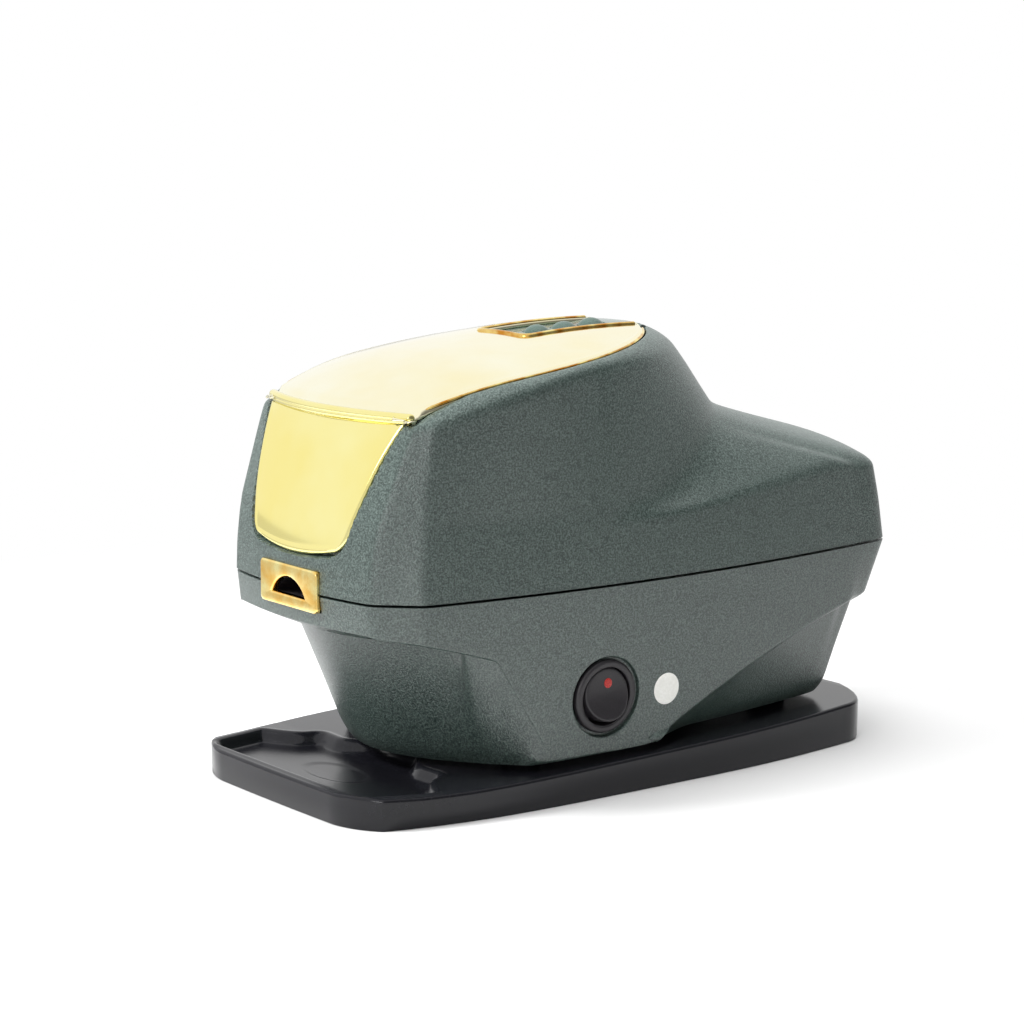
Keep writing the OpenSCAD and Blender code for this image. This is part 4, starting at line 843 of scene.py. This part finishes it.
def rocker_surface():
    """Rings run from the face's middle to its rounded edge, down the side and across the back."""
    q = circle(ROUND)
    r = np.array([0, 1.5, 3, 4.5, 6, 7, 7.6, 7.95, 8.18, ROCKER_R, ROCKER_R, 0])[:, None]
    drop = np.array([0, 0, 0, 0, 0, 0, 0, 0.06, 0.22, 0.5, 0, 0])[:, None]
    y, up = r * np.cos(q), r * np.sin(q)
    face = rocker_face(up) - drop
    face[-2:] = -3.0
    return on_rocker(face, y, up)


def marker_surface():
    """A small oval pad on the rocker's upper half, 0.15 mm proud."""
    q = circle(40)
    r = np.array([0, 0.5, 0.85, 1.0, 1.0])[:, None]
    y, up = 0.5 + 1.5 * r * np.cos(q), 3.5 + 1.5 * r * np.sin(q)
    return on_rocker(rocker_face(up) + np.array([0.15, 0.15, 0.12, 0.05, -0.3])[:, None], y, up)


cap, marker = rocker_surface(), marker_surface()
marker = np.concatenate([marker, marker[-1:] * 0 + marker[-1].mean(0)])
build("switch_bezel", *closed_on_itself(bezel_surface()), "black", "machine", "black_plastic", angle=50)
build("rocker_cap", cap, quads(*cap.shape[:2]), "black", "rocker", "black_plastic", ("switch_rocker",),
      angle=50)
build("rocker_marker", marker, quads(*marker.shape[:2]), "red", "rocker", "clear_plastic", angle=60)

# %% [markdown]
# Front panel: a plated plate that follows the front face. Its outline is drawn by two parameters
# too, so its rolled edge is simply the outermost rows and columns, set back.

# %% Front panel
def panel_surface():
    """Point (u, v) lies at x = u * half width, sagging towards the lower edge; edges roll back."""
    v = np.concatenate([[0, 0, 0.004, 0.012], np.linspace(0.025, 0.975, 60), [0.988, 0.996, 1, 1]])
    u = np.concatenate([[-1, -1, -0.993, -0.98], np.linspace(-0.96, 0.96, 71), [0.98, 0.993, 1, 1]])
    u, v = np.meshgrid(u, v)
    z0 = mix(PANEL_LOW, PANEL_HIGH, v)
    half = panel_half(z0)
    x = u * half
    z = z0 - (1 - v) * PANEL_SAG * (1 - u * u)
    rim = np.minimum((1 - np.abs(u)) * half, np.minimum(v, 1 - v) * (PANEL_HIGH - PANEL_LOW))
    roll = 1 - np.clip(rim / 1.1, 0, 1)
    back = 0.35 + 0.9 * roll ** 2.5 - 0.25 * np.exp(-((rim - 1.5) / 0.5) ** 2)
    y = face_y(x, z) + back
    grid = stack(x, y, z)
    for edge in (np.s_[0], np.s_[-1], np.s_[:, 0], np.s_[:, -1]):
        grid[edge][..., 1] = face_y(grid[edge][..., 0], grid[edge][..., 2]) + 2.3
    return grid


panel = panel_surface()
build("plated_panel", panel, quads(*panel.shape[:2], closed=False), "gold", "machine", "gold_plastic",
      ("front_panel",), wall=0.5)

# %% [markdown]
# Lid. One grid covers it: rows run back from the lip, columns run out from the middle, and part
# of them stops at the notch, so that dropping those faces leaves a clean notch for the deck. The
# lip carries a rounded bead in front of a shallow step, and the rim turns down to the frame.

# %% Lid
NOTCH, NOTCH_Y, TIP_Y = 11.6, -3.8, 41.2


def lid_surface():
    """Heights come from the crown; the front rows add the lip's step and bead."""
    to_notch = NOTCH_Y - LIP_Y
    prong = 1 - (1 - np.linspace(0, 1, 50)[1:]) ** 1.6
    lip_rows = [0, 0, 0, 0.25, 0.7, 1.2, 1.8, 2.4, 2.9, 3.3, 3.8, 4.4]
    s = np.concatenate([lip_rows, np.linspace(5.5, to_notch, 48), to_notch + (TIP_Y - NOTCH_Y) * prong])
    ys = LIP_Y + s
    fore = ys <= NOTCH_Y + 1e-6
    bow = LIP_BOW * ease(1 - s / 45)
    ca, cb = np.linspace(0, 1, 14)[:-1], np.linspace(0, 1, 34) ** 0.9
    lip_half = mix(LIP_HALF, float(lid_x(LID_FORE)), np.clip(s / (LID_FORE - LIP_Y), 0, 1))
    half = np.where(ys < LID_FORE, lip_half, lid_x(ys))[:, None]
    inner = np.minimum(NOTCH, 0.98 * half)
    x = np.concatenate([ca[None] * inner, inner + (half - inner) * cb[None], half, half, half], 1)
    y = ys[:, None] - bow[:, None] * (1 - (x / half) ** 2)
    z = lid_z(x, y)
    step = s[:, None] + 0 * x
    side = half - np.abs(x)
    z = z - 1.2 * ease(1 - (step - 3.4) / 0.7)
    edge_roll = 1 - np.clip(side / 1.0, 0, 1)
    z = z - 0.7 * edge_roll ** 2 + 0.28 * np.exp(-((side - 1.9) / 0.5) ** 2) * (step > 4)
    lip_low = 117.5 + 1.4 * (x / half) ** 2
    low = np.where(step < 6, lip_low, seat_z(y) + 2.3)
    z[:, -2], z[:, -1] = mix(z[:, -3], low[:, -1], 0.5), low[:, -1]
    z[0] = lip_low[0]
    z[1] = mix(z[0], z[3] - 0.5, 0.6)
    z[2] = z[3] - 0.5
    y[0:2] += 0.25
    return stack(x, y, z), fore, len(ca)


half_lid, fore, split = lid_surface()
faces = quads(*half_lid.shape[:2], closed=False)
row_of, col_of = np.divmod(faces[:, 0], half_lid.shape[1])
faces = faces[fore[row_of + 1] | (col_of >= split)]
# the lid takes the paler gold with painted white reflection
build("plated_lid", *both_sides(half_lid, faces), "lid gold", "lid", "gold_plastic", ("lid",),
      wall=SHELL_SKIN, angle=50)


# %% [markdown]
# The lip in front is a rounded bar with a fine groove along its face, and a slim half-round runs
# along both sides of the lid. Both are profiles carried along a path on the lid's edge; the bar
# shrinks to a point in its last millimetre, so its ends are round.

# %% Lid lip and rims
def sweep(path, profile, side, size=1.0):
    """Carries a closed profile (out, up) along a path; side is the direction of out, and size,
    one value or one per station, grows or shrinks the profile."""
    section = profile[None, :, :1] * side[:, None] + profile[None, :, 1:] * np.array([0, 0, 1.0])
    return path[:, None] + np.broadcast_to(size, len(path))[:, None, None] * section


def outward(path):
    """Level unit vectors square to a path, pointing away from the lid's middle line."""
    tangent = np.gradient(path, axis=0)
    side = np.cross(tangent, [0, 0, 1.0])
    side /= np.linalg.norm(side, axis=1, keepdims=True)
    return side * np.sign((side * (path - [0, -20, 0])).sum(1, keepdims=True))


def lid_lip():
    """Stations across the front; the profile is (forward, up) about the bar's middle."""
    bar_half, round_end = 38.3, 1.1
    tip = np.array([0, 0.08, 0.3, 0.65, round_end])
    x = np.concatenate([tip - bar_half, np.linspace(-36.6, 36.6, 60), bar_half - tip[::-1]])
    y = LIP_Y - LIP_BOW * (1 - np.minimum(np.abs(x) / LIP_HALF, 1) ** 2)
    path = stack(x, y + 1.15, 119.15)
    profile = np.array([(-1.3, -1.3), (0.7, -1.6), (1.1, -1.35), (1.3, -0.9), (1.36, -0.5), (1.18, -0.3),
                        (1.18, -0.12), (1.4, 0.1), (1.42, 0.5), (1.3, 0.95), (0.95, 1.35), (0.4, 1.6),
                        (-0.3, 1.62), (-0.9, 1.4), (-1.3, 0.9)])
    return sweep(path, profile, outward(path), quarter(bar_half - np.abs(x), round_end))


def side_rim():
    """Down one side from behind the lip and round the ellipse to the prong's tip."""
    fore_y = np.linspace(-61, LID_MID, 40)[:-1]
    q = np.radians(np.linspace(0, 67, 60))
    x = np.concatenate([lid_x(fore_y), LID_HALF * np.cos(q)])
    y = np.concatenate([fore_y, LID_MID + LID_REAR * np.sin(q)])
    path = stack(x - 0.35, y, lid_z(x, y) - 0.55)
    a = np.radians(np.linspace(-80, 200, 12))
    profile = np.stack([0.55 * np.cos(a), 0.6 * np.sin(a)], -1)
    size = np.ones(len(x))
    size[[0, -1]], size[[1, -2]] = 0.02, 0.7
    return sweep(path, profile, outward(path), size)


lip, rim_half = lid_lip(), side_rim()
build("lid_lip", lip, quads(*lip.shape[:2]), "gold", "lid", "gold_plastic", angle=60)
# the side rims take the gold with painted amber reflection
build("lid_rims", *both_sides(rim_half, quads(*rim_half.shape[:2])),
      "edge gold", "lid", "gold_plastic", angle=60)


# %% [markdown]
# A raised bead runs round the notch. Its path goes down one prong, across and up the other, and
# its profile is a half round on top of a thin wall that lines the notch.

# %% Notch bead and hinge knuckles
def notch_bead():
    """The path is a rounded U; out points from the notch into the lid."""
    r = 2.2
    arm = np.linspace(39.0, NOTCH_Y + r, 46)
    q = np.radians(np.linspace(0, 90, 9))[1:]
    corner = stack(NOTCH - r + r * np.cos(q), NOTCH_Y + r - r * np.sin(q), 0)
    across = np.linspace(NOTCH - r, 0, 10)[1:]
    half = np.concatenate([stack(NOTCH, arm, 0), corner, stack(across, NOTCH_Y, 0)])
    path = np.concatenate([half, (half * [-1, 1, 1])[-2::-1]])
    tangent = np.gradient(path, axis=0)
    tangent /= np.linalg.norm(tangent, axis=1, keepdims=True)
    side = np.cross(tangent, [0, 0, 1.0])
    side *= np.sign((side * (path - [0, 20, 0])).sum(1, keepdims=True))
    path = path + side * 0.1
    path[:, 2] = lid_z(path[:, 0], path[:, 1])
    a = np.radians(np.linspace(180, 0, 11))
    arch = np.stack([0.95 + 0.95 * np.cos(a), 0.75 * np.sin(a)], -1)
    profile = np.concatenate([[[0.0, -7.0]], arch, [[1.9, -1.2], [1.2, -1.6], [1.2, -7.0]]])
    return sweep(path, profile, side)


bead = notch_bead()
# the notch bead takes the gold with painted amber and brown reflection
build("notch_bead", bead, quads(*bead.shape[:2]), "edge gold", "lid", "gold_plastic", angle=50)


def knuckle(side):
    """A short barrel with chamfered ends round the hinge's axis, outward from its prong."""
    r = np.array([0, 1.3, 1.6, 1.6, 1.3, 0])[:, None]
    out = np.array([0, 0, 0.3, 2.2, 2.5, 2.5])[:, None]
    q = circle(32) + side * KNUCKLE_TURN
    return stack(side * (NOTCH + out), HINGE_Y + side * r * np.cos(q), HINGE_Z + r * np.sin(q))


HINGE_Y, HINGE_Z, KNUCKLE_TURN = 39.4, 137.5, math.atan2(0.9, -0.1)
for number, side in ((1, -1), (2, 1)):
    barrel = knuckle(side)
    build("hinge_knuckle_%d" % number, barrel, quads(*barrel.shape[:2]),
          "gold", "lid", "gold_plastic", angle=40)

# %% [markdown]
# Drip tray: a soft black moulding. Its top is one height map over the footprint, in which the
# basin under the outlet is sunk with rounded walls; the outside edge is a profile carried round
# the rim of that map.

# %% Drip tray outline
TRAY_FRONT = DRAW_FRONT - 6.8
TRAY_LEVEL, BASIN_DEEP, ROLL_IN = 9.3, 3.6, 2.2
BASIN = np.array([[34, 0.5], [40, 0.7], [44, 2.5], [46.4, 6], [47.8, 10], [49.3, 14], [51.5, 21], [52.9, 27],
                  [38.5, 34], [36.8, 39.5], [32.5, 42.1], [26, 41.6], [21.5, 41.4], [17, 44.5], [13, 48.4],
                  [8.5, 50], [0, 48.6]])


def tray_half(u):
    """Half the tray's width, u behind its front edge."""
    return 56.8 - 12 * np.maximum(1 - u / 90, 0) ** 3 - 5.8 * (np.maximum(u - 120, 0) / 72) ** 2.2


def tray_edge():
    """Half outline as (x, u): rounded front corner, bowed side, rounded rear."""
    t = np.linspace(0, 1, 9)
    corner = stack(curve(36.0, 45.6, tray_half(8.0), t), curve(0, 0, 8, t))
    u = np.linspace(8, 190, 60)[1:]
    q = np.radians(np.linspace(0, 90, 16))[1:]
    rear = stack(mix(20, tray_half(190.0), np.cos(q)), 190 + 17.6 * np.sin(q) + 1.9 * np.sin(q) ** 6)
    return np.concatenate([corner, stack(tray_half(u), u), rear])


def tray_z(u):
    """Height of the tray's top: level, then a slope towards the rear, and a raised front lip."""
    return TRAY_LEVEL + TILT * np.maximum(u - 36, 0) + 0.5 * ease((23 - u) / 18)


def distance_inside(x, u, outline):
    """Signed distance to a closed outline, positive inside: nearest segment, sign by crossings."""
    best = np.full(x.shape, 1e9)
    inside = np.zeros(x.shape, bool)
    for (ax, ay), (bx, by) in zip(outline, np.roll(outline, -1, 0)):
        dx, dy = bx - ax, by - ay
        t = np.clip(((x - ax) * dx + (u - ay) * dy) / (dx * dx + dy * dy), 0, 1)
        best = np.minimum(best, np.hypot(x - ax - t * dx, u - ay - t * dy))
        if abs(dy) > 1e-9:
            inside ^= ((ay > u) != (by > u)) & (x < ax + (u - ay) * dx / dy)
    return np.where(inside, best, -best)


def rounded(ring, passes):
    """Cuts every corner of a closed outline at a quarter of its sides, passes times."""
    for _ in range(passes):
        after = np.roll(ring, -1, 0)
        ring = np.stack([mix(ring, after, 0.25), mix(ring, after, 0.75)], 1).reshape(-1, 2)
    return ring


print("tray half width at its middle:", round(float(tray_half(96.0)), 2), "mm")

# %% [markdown]
# The tray's mesh starts as that map. Its border is walked once round, the way outward is averaged
# with its neighbours so that no corner folds, and the edge's profile is carried along it.

# %% Drip tray mesh
def tray_surface():
    """Top grid, then the rim's profile carried outward and under."""
    edge = tray_edge()
    us = np.concatenate([[1.0, 1.3, 1.8, 2.5, 3.3], np.linspace(4.2, 60, 80), np.linspace(62, 208.3, 62)])
    f = np.concatenate([np.linspace(0, 0.86, 70), np.linspace(0.865, 1, 22)])
    f = np.concatenate([-f[:0:-1], f])
    lag = 7.0 * np.clip((np.abs(f) - 0.72) / 0.28, 0, 1) ** 2.4 + 0.6 * f * f
    u = us[:, None] + lag[None] * np.clip(1 - (us[:, None] - 1) / 50, 0, 1)
    half = np.interp(u, edge[:, 1], edge[:, 0]) - 1.0
    x = f[None] * half
    ring = rounded(np.concatenate([BASIN, (BASIN * [-1, 1])[-2::-1]]), 3)
    closed = np.concatenate([edge, (edge * [-1, 1])[::-1]])
    d = np.minimum(distance_inside(x, u, ring), distance_inside(x, u, closed) - 1.6) - ROLL_IN
    z = tray_z(u) - BASIN_DEEP * ease(d / 2.6) + 0.35 * np.exp(-((d + 0.9) / 0.8) ** 2) * (u < 60)
    oval_mark = np.hypot(x / 15.0, (u - 23) / 8.0)
    z = z - 0.25 * ease(4 * (1.05 - oval_mark)) * (d > 3)
    top = stack(x, u + TRAY_FRONT, z)
    border = np.concatenate([top[0], top[1:, -1], top[-1, -2::-1], top[-2:0:-1, 0]])
    tangent = np.roll(border, -1, 0) - np.roll(border, 1, 0)
    out = np.cross(tangent * [1, 1, 0], [0, 0, 1.0])
    out /= np.maximum(np.linalg.norm(out, axis=1, keepdims=True), 1e-9)
    for _ in range(2):
        out = np.roll(out, 1, 0) + 2 * out + np.roll(out, -1, 0)
        out /= np.linalg.norm(out, axis=1, keepdims=True)
    rows = [border]
    for o, drop in ((0.35, 0.06), (0.65, 0.24), (0.88, 0.55), (0.98, 1.0)):
        rows.append(border + out * o - [0, 0, drop])
    floor = border * [1, 1, 0]
    rows += [floor + out * 0.8 + [0, 0, 0.5], floor + out * 0.4, floor - out * 4.0,
             floor - out * 4.2 + [0, 0, 1.2], floor * [0, 1, 0] + [0, 0, 1.2]]
    return top, np.stack(rows)


top, rim = tray_surface()
verts = np.concatenate([top.reshape(-1, 3), rim.reshape(-1, 3)])
rim_faces = quads(*rim.shape[:2]) + top.shape[0] * top.shape[1]
faces = np.concatenate([quads(*top.shape[:2], closed=False), rim_faces])
build("soft_tray", verts, faces, "tray", "tray", "tray_black", ("drip_tray",), angle=50)

# %% [markdown]
# Outlet plate: a plated escutcheon with a half-moon mouth. Outer and inner outline are sampled at
# the same angles round the mouth, so rows of one grid run from the back over the rolled edge,
# across the face and down into the mouth.

# %% Outlet plate
PLATE_Z, PLATE_W, PLATE_H = 66.3, 31.0, 13.0
MOUTH_Z, MOUTH_W, MOUTH_H, SILL, MOUTH_OFF = PLATE_Z - 2.9, 18.5, 5.6, 1.8, 1.1


def ray_to_box(q, half_w, up, down, corner):
    """Distance along angle q to a rounded rectangle, by marching the signed distance to zero."""
    c, s = np.cos(q), np.sin(q)
    r = np.zeros_like(q)
    mid, half_h = (up - down) / 2, (up + down) / 2
    for _ in range(60):
        px, pz = np.abs(r * c) - half_w + corner, np.abs(r * s - mid) - half_h + corner
        r = r - (np.hypot(np.maximum(px, 0), np.maximum(pz, 0)) + np.minimum(np.maximum(px, pz), 0) - corner)
    return r


def ray_to_mouth(q, grow):
    """Distance along angle q to the half moon: the nearer of its arc and its flat sill."""
    radius = (MOUTH_W ** 2 / 4 + MOUTH_H ** 2) / (2 * MOUTH_H)
    cz = MOUTH_H - radius - SILL
    s = np.sin(q)
    arc = s * cz + np.sqrt((s * cz) ** 2 - cz * cz + (radius + grow) ** 2)
    sill = np.where(s < -1e-6, (-SILL - grow) / np.minimum(s, -1e-6), 1e9)
    return np.minimum(arc, sill)


def plate_surface():
    """Rows: back edge, side, rolled rim, face, rolled mouth, mouth wall."""
    corners = [math.atan2(s * PLATE_H / 2 + MOUTH_OFF, c * PLATE_W / 2) for s in (-1, 1) for c in (-1, 1)]
    tips = [math.atan2(-SILL, c * MOUTH_W / 2) for c in (-1, 1)]
    q = np.sort(np.concatenate([np.linspace(-math.pi, math.pi, 240, endpoint=False)] +
                               [np.array(a) + np.linspace(-0.05, 0.05, 9) for a in corners + tips]))
    up, down = PLATE_H / 2 + MOUTH_OFF, PLATE_H / 2 - MOUTH_OFF
    rays = [(ray_to_box(q, PLATE_W / 2 - inset, up - inset, down - inset, 1.4 - inset * 0.5), back)
            for inset, back in ((0, 2.1), (0, 0.5), (0.12, 0.2), (0.4, 0.03), (0.8, 0.0))]
    rays += [(ray_to_mouth(q, grow), back)
             for grow, back in ((0.7, 0.0), (0.35, 0.05), (0.1, 0.25), (0.0, 0.6), (0.0, 2.1))]
    return np.stack([stack(r * np.cos(q), DRAW_FRONT - 0.5 + back, MOUTH_Z + SILL + r * np.sin(q))
                     for r, back in rays])


build("plated_outlet", *closed_on_itself(plate_surface()), "deep gold", "machine", "gold_plastic",
      ("outlet_plate",), angle=50)

# %% [markdown]
# A blank round inspection sticker sits beside the switch; it is 0.1 mm thick paper and follows
# the wall.

# %% Sticker
def sticker_surface():
    """A disc on the wall: x follows the side, rows run from its middle to its edge and back."""
    q = circle(64)
    radius = np.array([0, 1.5, 3.0, 4.2, 4.9, 5.0, 5.0, 0])[:, None]
    lift = np.array([0.12, 0.12, 0.12, 0.12, 0.12, 0.08, -0.2, -0.2])[:, None]
    y, z = STICKER_Y + radius * np.cos(q), STICKER_Z + radius * np.sin(q)
    return stack(low_wall(y, z) + lift, y, z)


STICKER_Y, STICKER_Z = 19.5, 30.0
sticker = sticker_surface()
build("inspection_sticker", sticker, quads(*sticker.shape[:2]), "paper", "machine", "clear_plastic")

# %% [markdown]
# The studio: a pale floor, a pale world and three soft lamps. Near the object the floor is lit and
# takes its shadow; further out it shows the camera plain white, so no more light has to fall on
# the object to make the background white.

# %% Studio
def soft_lamp(name, place_mm, aim_mm, size_mm, power):
    """A square area lamp at place_mm that faces aim_mm."""
    data = bpy.data.lights.new(name, "AREA")
    data.shape, data.size, data.energy = "SQUARE", size_mm * MM, power
    lamp = bpy.data.objects.new(name, data)
    bpy.context.scene.collection.objects.link(lamp)
    lamp.location = Vector(place_mm) * MM
    lamp.rotation_euler = (Vector(aim_mm) - Vector(place_mm)).to_track_quat("-Z", "Y").to_euler()
    lamp.visible_glossy = False
    return lamp


def white_floor():
    """White where the object's shadow falls, and plain white light further out, where it ends."""
    mesh = bpy.data.meshes.new("floor")
    mesh.from_pydata([(-9, -9, 0), (9, -9, 0), (9, 9, 0), (-9, 9, 0)], [], [(0, 1, 2, 3)])
    floor = bpy.data.objects.new("floor", mesh)
    bpy.context.scene.collection.objects.link(floor)
    white, dim = (FLOOR_WHITE,) * 3 + (1,), (FLOOR_FAR,) * 3 + (1,)
    mat, tree, shader, coords = material("floor white", white, 0.9, specular_ior_level=0.0)
    far = new_node(tree, "ShaderNodeVectorMath", {0: coords}, operation="LENGTH").outputs["Value"]
    plain_share = spread(tree, far, SHADOW_END, PLAIN_START, kind="SMOOTHSTEP")
    dim_share = spread(tree, far, PLAIN_START, DIM_START, kind="SMOOTHSTEP")
    path = tree.nodes.new("ShaderNodeLightPath").outputs
    level = new_node(tree, "ShaderNodeMix", {0: path["Is Camera Ray"], 2: FLOOR_GLOSS, 3: 1.0})
    plain = new_node(tree, "ShaderNodeEmission", {"Color": (1, 1, 1, 1), "Strength": level.outputs[0]})
    tree.links.new(blend(tree, dim_share, white, dim), shader.inputs["Base Color"])
    seen = maths(tree, "MAXIMUM", path["Is Camera Ray"], path["Is Glossy Ray"])
    share = maths(tree, "MULTIPLY", plain_share, seen)
    both = new_node(tree, "ShaderNodeMixShader", {0: share, 1: shader.outputs[0], 2: plain.outputs[0]})
    tree.links.new(both.outputs[0], tree.nodes["Material Output"].inputs["Surface"])
    mesh.materials.append(mat)
    return floor


def white_world(light, seen, flag):
    """Light is the strength that lights. The camera sees strength seen, and so do reflections,
    except towards the right and rear, where they see flag, a dark cloth beside the side wall."""
    world = bpy.data.worlds.new("studio")
    world.use_nodes = True
    bpy.context.scene.world = world
    tree = world.node_tree
    back = tree.nodes["Background"]
    back.inputs["Color"].default_value = (1, 1, 1, 1)
    way = tree.nodes.new("ShaderNodeTexCoord").outputs["Generated"]
    along = new_node(tree, "ShaderNodeVectorMath", {0: way, 1: (0.8, 0.6, 0.0)}, operation="DOT_PRODUCT")
    glossy = spread(tree, along.outputs["Value"], 0.25, 0.85, seen, flag, "SMOOTHSTEP")
    path = tree.nodes.new("ShaderNodeLightPath").outputs
    first = new_node(tree, "ShaderNodeMix", {0: path["Is Glossy Ray"], 2: light, 3: glossy})
    both = maths(tree, "MAXIMUM", path["Is Camera Ray"], path["Is Transmission Ray"])
    strength = new_node(tree, "ShaderNodeMix", {0: both, 2: first.outputs[0], 3: seen})
    tree.links.new(strength.outputs[0], back.inputs["Strength"])
    return world


FLOOR_WHITE, FLOOR_FAR, FLOOR_GLOSS = 0.62, 0.3, 0.75
SHADOW_END, PLAIN_START, DIM_START = 0.17, 0.42, 0.8
white_floor()
white_world(light=0.28, seen=1.0, flag=0.18)
soft_lamp("top softbox", (0, 100, 900), (0, 0, 60), 700, 13.0)
soft_lamp("front softbox", (-450, -800, 850), (0, 0, 60), 450, 24.0)
soft_lamp("camera softbox", (650, -950, 330), (0, -60, 80), 320, 2.0).visible_glossy = True
bpy.context.scene.view_settings.view_transform = "Standard"

# %% [markdown]
